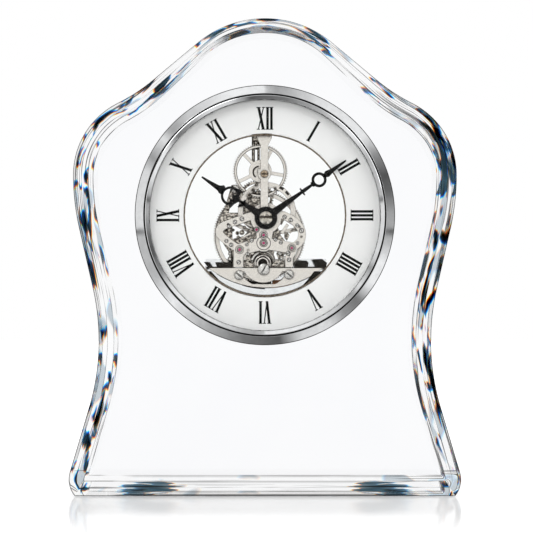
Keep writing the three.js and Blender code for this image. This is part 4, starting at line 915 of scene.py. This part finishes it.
small_screws("cock_screw", [(7.1, -17.8, 1.1)], LOWER_COCK_FRONT, 0.25, 40.0)

# Drum and platform: dark lines of painted shade at grooves and steps, the hood, the springs and the wire

drum_lines = [
    band(NOSE, 3.0, 3.65, *LIP_LAYER, start=-80.0, end=84.0, steps=40),
    band(NOSE, 4.4, 5.1, *DRUM_LAYER, start=-84.0, end=-12.0, steps=24),
    band(NOSE, 6.2, 6.6, *DRUM_LAYER, start=-72.0, end=-22.0, steps=20),
    band(NOSE, 4.5, 4.9, *DRUM_LAYER, start=22.0, end=80.0, steps=20),
]
built("drum_lines", drum_lines, shadow, slot="black_lacquer", middle=HUB)
hood = band(NOSE, 5.12, 6.18, *HOOD_LAYER, start=-74.0, end=-20.0, steps=20)
built("drum_hood", [hood], steel, slot="polished_steel", middle=HUB)
# The springs take the darker nickel of painted shade
springs = [
    plate([(-11.1, -21.0), (-9.5, -21.8), (-6.6, -23.0), (-6.1, -22.6), (-6.1, -25.2), (-11.1, -25.2)],
          *SPRING_LAYER),
    plate([(3.0, -23.4), (5.2, -21.5), (8.0, -20.8), (9.8, -22.0), (9.8, -25.2), (3.0, -25.2)],
          *SPRING_LAYER),
]
built("platform_springs", springs, nickel_in_painted_shade, slot="nickel", middle=HUB)
wire = slanted(6.6, -22.6, 6.2, 0.35, 46.0, *WIRE_LAYER)
built("platform_wire", [wire], steel, slot="polished_steel", middle=HUB)

# Painted shade: dark lines round the top and great wheels, dark wedges at the aperture's rim and dark lines
# on the rear post

# Dark lines of painted shade along the top wheel's rim and hub
wheel_lines = [band(TOP_AXIS, radius, radius + 0.22, *TOP_WHEEL_LINE, steps=96) for radius in (11.92, 12.95)]
wheel_lines.append(band(TOP_HUB, 2.7, 3.35, *TOP_HUB_LINE, start=215.0, end=355.0, steps=24))
built("top_wheel_lines", wheel_lines, shadow, body="top", slot="black_lacquer", middle=HUB)
# A dark line of painted shade at the great wheel's teeth
great_line = band(GREAT_AXIS, 22.42, 22.72, *GREAT_WHEEL_LINE, steps=128)
built("great_wheel_line", [great_line], shadow, body="great", slot="black_lacquer", middle=HUB)
# Dark wedges of painted shadow on the aperture's rim
wedges = [
    plate([(24.4, -26.8), (29.2, -26.8), (26.2, -30.1), (21.5, -33.4), (17.2, -35.3), (20.6, -31.6)],
          *RIM_LAYER),
    plate([(-27.6, -26.8), (-23.6, -31.2), (-20.6, -33.4), (-23.2, -32.6), (-27.4, -29.2), (-29.3, -26.8)],
          *RIM_LAYER),
    band(INSERT_AXIS, 34.0, 34.7, *RIM_LAYER, start=177.0, end=186.0, steps=10),
    band(INSERT_AXIS, 36.6, 37.1, *RIM_LAYER, start=180.0, end=198.0, steps=14),
]
built("rim_wedges", wedges, shadow, slot="black_lacquer", middle=HUB)
# Dark lines of painted shade along the rear post's bars
post_shade_lines = []
for left in (-7.15, -5.95, -4.4, -3.5):
    right = left + POST_SHADE_WIDTH
    corners = [(left, POST_SHADE_FOOT), (left, POST_SHADE_HEAD), (right, POST_SHADE_HEAD), (right, POST_SHADE_FOOT)]
    post_shade_lines.append(plate(corners, *POST_LINE))
built("rear_post_lines", post_shade_lines, shadow, slot="black_lacquer", middle=HUB)


# Hands: the cut ornament that lies over their arms, drawn along 12 o'clock and turned to its hour

HOUR_ANGLE = 302.6
MINUTE_ANGLE = 54.4
HOUR_SLAB = (-17.46, -16.95)
MINUTE_SLAB = (-18.86, -18.35)


def on_hand(outline, degrees):
    """Points drawn along 12 o'clock, turned to a clock angle."""
    a = math.radians(degrees)
    return np.array(outline, float) @ np.array([[math.cos(a), -math.sin(a)], [math.sin(a), math.cos(a)]])


def stroke_between(start, end, width, tip=None):
    """Corners of a bar between two points, width wide at its start and tip wide at its end."""
    a, b = np.array(start, float), np.array(end, float)
    along = (b - a) / np.linalg.norm(b - a)
    aside = np.array([along[1], -along[0]]) / 2.0
    end_width = width if tip is None else tip
    return [a - aside * width, b - aside * end_width, b + aside * end_width, a + aside * width]


def hand_ornament(name, body, degrees, slab, outlines, rings):
    """Flat outlines and arcs on one hand, drawn along 12 o'clock and turned to its angle. An arc
    is its centre, inner and outer radius, start and end."""
    parts = [plate(on_hand(outline, degrees), *slab) for outline in outlines]
    for centre, inner, outer, start, end in rings:
        parts.append(band(on_hand(centre, degrees), inner, outer, *slab, start=start + degrees,
                          end=end + degrees, steps=40))
    built(name, parts, lacquer, body=body, slot="black_lacquer", middle=HUB)


hand_ornament("hour_hand_ornament", "hour", HOUR_ANGLE, HOUR_SLAB, [
    [(-0.42, 38.2), (0.45, 38.2), (0.85, 30.2), (1.15, 28.2), (2.6, 26.5), (1.4, 25.0), (-1.4, 25.0),
     (-2.3, 26.6), (-1.6, 27.7), (-1.4, 29.1)],
    stroke_between((1.5, 18.0), (0.6, 20.2), 0.9, 0.6),
    stroke_between((0.0, 16.9), (1.7, 18.1), 1.2, 1.0),
    stroke_between((0.0, 16.9), (-1.6, 18.1), 1.2, 1.1),
    stroke_between((-1.5, 17.8), (-2.1, 20.2), 1.1, 0.6),
    stroke_between((-1.7, 19.3), (-3.9, 19.3), 1.0),
    stroke_between((-3.7, 19.5), (-5.5, 18.0), 0.9, 0.6),
    stroke_between((-5.4, 18.2), (-3.2, 17.4), 0.6, 0.3),
    stroke_between((0.0, 13.0), (0.0, 17.0), 1.4),
    stroke_between((0.0, 13.6), (2.1, 13.5), 1.6, 0.5),
    stroke_between((0.0, 13.6), (-2.3, 13.8), 1.6, 0.5),
], [((-0.2, 21.0), 3.62, 4.72, -113.0, 128.0), ((3.03, 19.07), 0.95, 1.85, 20.0, 245.0)])
MINUTE_NOTCHES = [(22.5, 1.9, 1.5, 0.5), (28.8, 1.3, 1.5, 0.9), (36.9, 1.2, 1.3, 0.9)]
hand_ornament("minute_hand_ornament", "minute", MINUTE_ANGLE, MINUTE_SLAB, [
    *(stroke_between((0.0, z), (side * reach, z), width, tip)
      for z, reach, width, tip in MINUTE_NOTCHES for side in (1.0, -1.0)),
    stroke_between((0.0, 41.0), (0.0, 49.4), 2.2, 0.8),
], [((0.0, 32.8), 2.4, 3.8, 0.0, 360.0)])


def spindle(name, x, y, profile, steps=28):
    """A turned column on an upright axis: x + r cos t, y + r sin t, height."""
    r, z = np.asarray(profile, float).T
    t = np.linspace(0.0, 2.0 * np.pi, steps, endpoint=False)
    points = np.stack([
        x + r[:, None] * np.cos(t),
        y + r[:, None] * np.sin(t),
        z[:, None] * np.ones_like(t),
    ], -1).reshape(-1, 3)
    rows = len(r)
    faces = grid_faces(rows, steps, closed_rows=False)
    faces += [list(range(steps))[::-1], [(rows - 1) * steps + k for k in range(steps)]]
    return piece(name, points, faces, steel, slot="polished_steel", middle=HUB, sharp=40.0)


COLUMN = [(0.4, -25.0), (1.3, -25.0), (1.3, -23.4), (0.7, -22.9), (0.7, -22.3), (1.35, -21.6), (1.45, -20.7),
          (1.1, -19.8), (0.6, -19.4), (0.6, -18.8), (1.1, -18.3), (1.1, -17.4), (0.6, -16.9), (0.4, -15.9)]
spindle("left_column", -18.1, -6.4, COLUMN)

# Studio: what metal mirrors, as cards by clock angle round the dial's axis and tone, and as cards
# straight ahead by height from 0, below, to 1, above, and tone

STUDIO_CARDS = [(0, .62), (5, .42), (15, .64), (26, .90), (50, .92), (60, .30), (70, .10), (78, .15),
                (90, .46), (94, .44), (96, .03), (98, .45), (111, 1.), (122, .95), (131, .20), (140, .34),
                (150, .85), (163, .75), (173, .11), (190, .20), (210, .52), (228, .98), (243, .55),
                (262, .60), (264, .03), (266, .84), (292, .78), (298, .36), (308, .88), (313, .40),
                (325, .70), (345, .98)]
AHEAD_CARDS = [(.40, .50), (.47, .97), (.58, .97), (.61, .03), (.67, .60)]
TABLE_HALF = 2.2
TABLE_LEVEL = -0.0003

# Lamps by place in metres and power in watts, and the camera, whose frame has so many pixels, each
# so wide at the face

LAMPS = [("key", (-0.45, -1.5, 0.75), 2.2), ("fill", (0.60, -1.4, 0.60), 1.2)]
LAMP_AIM = (0.0, 0.0, 0.12)
LAMP_SIZE = 0.5
CAMERA_DISTANCE = 1.05
CAMERA_ASIDE = 0.0008
CAMERA_HEIGHT = 0.1153
SENSOR_WIDTH = 36.0
FRAME_PIXELS = 533.0
PIXEL = 0.0005


def studio_sky():
    """White for what the camera sees straight or through glass; what is mirrored sees a ring of
    pale and dark cards, and other cards ahead and behind."""
    world = bpy.data.worlds.new("studio")
    bpy.context.scene.world = world
    world.use_nodes = True
    tree = world.node_tree
    tree.nodes.clear()
    node = node_maker(tree)
    link = tree.links.new
    split = node("ShaderNodeSeparateXYZ")
    link(node("ShaderNodeTexCoord").outputs["Generated"], split.inputs[0])
    x, y, z = split.outputs
    turn = maths(node, link, "DIVIDE", maths(node, link, "ARCTAN2", x, z), 2.0 * math.pi)
    ring = greys(node, link, maths(node, link, "FRACT", turn),
                 *((degrees / 360.0, tone) for degrees, tone in STUDIO_CARDS))
    height = maths(node, link, "MULTIPLY_ADD", z, 0.5, 0.5)
    ahead = smooth_step(node, link, maths(node, link, "ABSOLUTE", y), 0.72, 0.90)
    mirrored = mixed(node, link, ahead, ring, greys(node, link, height, *AHEAD_CARDS))
    bounces = node("ShaderNodeLightPath").outputs["Glossy Depth"]
    seen = mixed(node, link, maths(node, link, "GREATER_THAN", bounces, 0.5), WHITE, mirrored)
    glow = node("ShaderNodeBackground", Strength=1.0)
    link(seen, glow.inputs["Color"])
    link(glow.outputs[0], node("ShaderNodeOutputWorld").inputs["Surface"])


def studio_floor():
    """A pale table top, flat and far wider than the clock, and glossy near its foot. Mirrored
    rays pass through it to the studio."""
    made, shader, node, link = finish("table_top")
    shader.inputs["Base Color"].default_value = (0.93, 0.93, 0.93, 1.0)
    shader.inputs["Roughness"].default_value = 0.6
    shader.inputs["Specular IOR Level"].default_value = 0.0
    shader.inputs["Emission Color"].default_value = WHITE
    shader.inputs["Emission Strength"].default_value = 0.3
    far = node("ShaderNodeVectorMath", operation="LENGTH")
    link(node("ShaderNodeTexCoord").outputs["Object"], far.inputs[0])
    near = smooth_step(node, link, far.outputs["Value"], 0.12, 0.24, low=0.42, high=0.0)
    mirror = node("ShaderNodeBsdfGlossy", Color=WHITE)
    link(span(node, link, noise(node, link, 40.0), 0.10, 0.14), mirror.inputs["Roughness"])
    polished = mixed_shaders(node, link, near, shader.outputs[0], mirror.outputs[0])
    mirrored = node("ShaderNodeLightPath").outputs["Is Glossy Ray"]
    gone = node("ShaderNodeBsdfTransparent")
    link(mixed_shaders(node, link, mirrored, polished, gone.outputs[0]),
         made.node_tree.nodes["Material Output"].inputs["Surface"])
    mesh = bpy.data.meshes.new("table_top")
    corners = [(x * TABLE_HALF, y * TABLE_HALF, TABLE_LEVEL) for x, y in ((-1, -1), (1, -1), (1, 1), (-1, 1))]
    mesh.from_pydata(corners, [], [(0, 1, 2, 3)])
    mesh.materials.append(made)
    top = bpy.data.objects.new("table_top", mesh)
    bpy.context.scene.collection.objects.link(top)


def lamp(name, place, power):
    """A square lamp at a place, turned towards the clock."""
    data = bpy.data.lights.new(name, "AREA")
    data.shape = "SQUARE"
    data.size = LAMP_SIZE
    data.energy = power
    made = bpy.data.objects.new(name, data)
    bpy.context.scene.collection.objects.link(made)
    made.location = place
    toward = np.array(LAMP_AIM) - np.array(place)
    flat = math.hypot(toward[0], toward[1])
    made.rotation_euler = (math.atan2(flat, -toward[2]), 0.0, math.atan2(-toward[0], toward[1]))


def camera():
    """Level with the lower dial and square to the face."""
    data = bpy.data.cameras.new("camera")
    made = bpy.data.objects.new("camera", data)
    bpy.context.scene.collection.objects.link(made)
    made.location = (CAMERA_ASIDE, FACE * MM - CAMERA_DISTANCE, CAMERA_HEIGHT)
    made.rotation_euler = (math.pi / 2.0, 0.0, 0.0)
    data.sensor_width = SENSOR_WIDTH
    data.lens = SENSOR_WIDTH * CAMERA_DISTANCE / (FRAME_PIXELS * PIXEL)
    bpy.context.scene.camera = made


studio_sky()
studio_floor()
for name, place, power in LAMPS:
    lamp(name, place, power)
camera()
bpy.context.scene.view_settings.view_transform = "Standard"
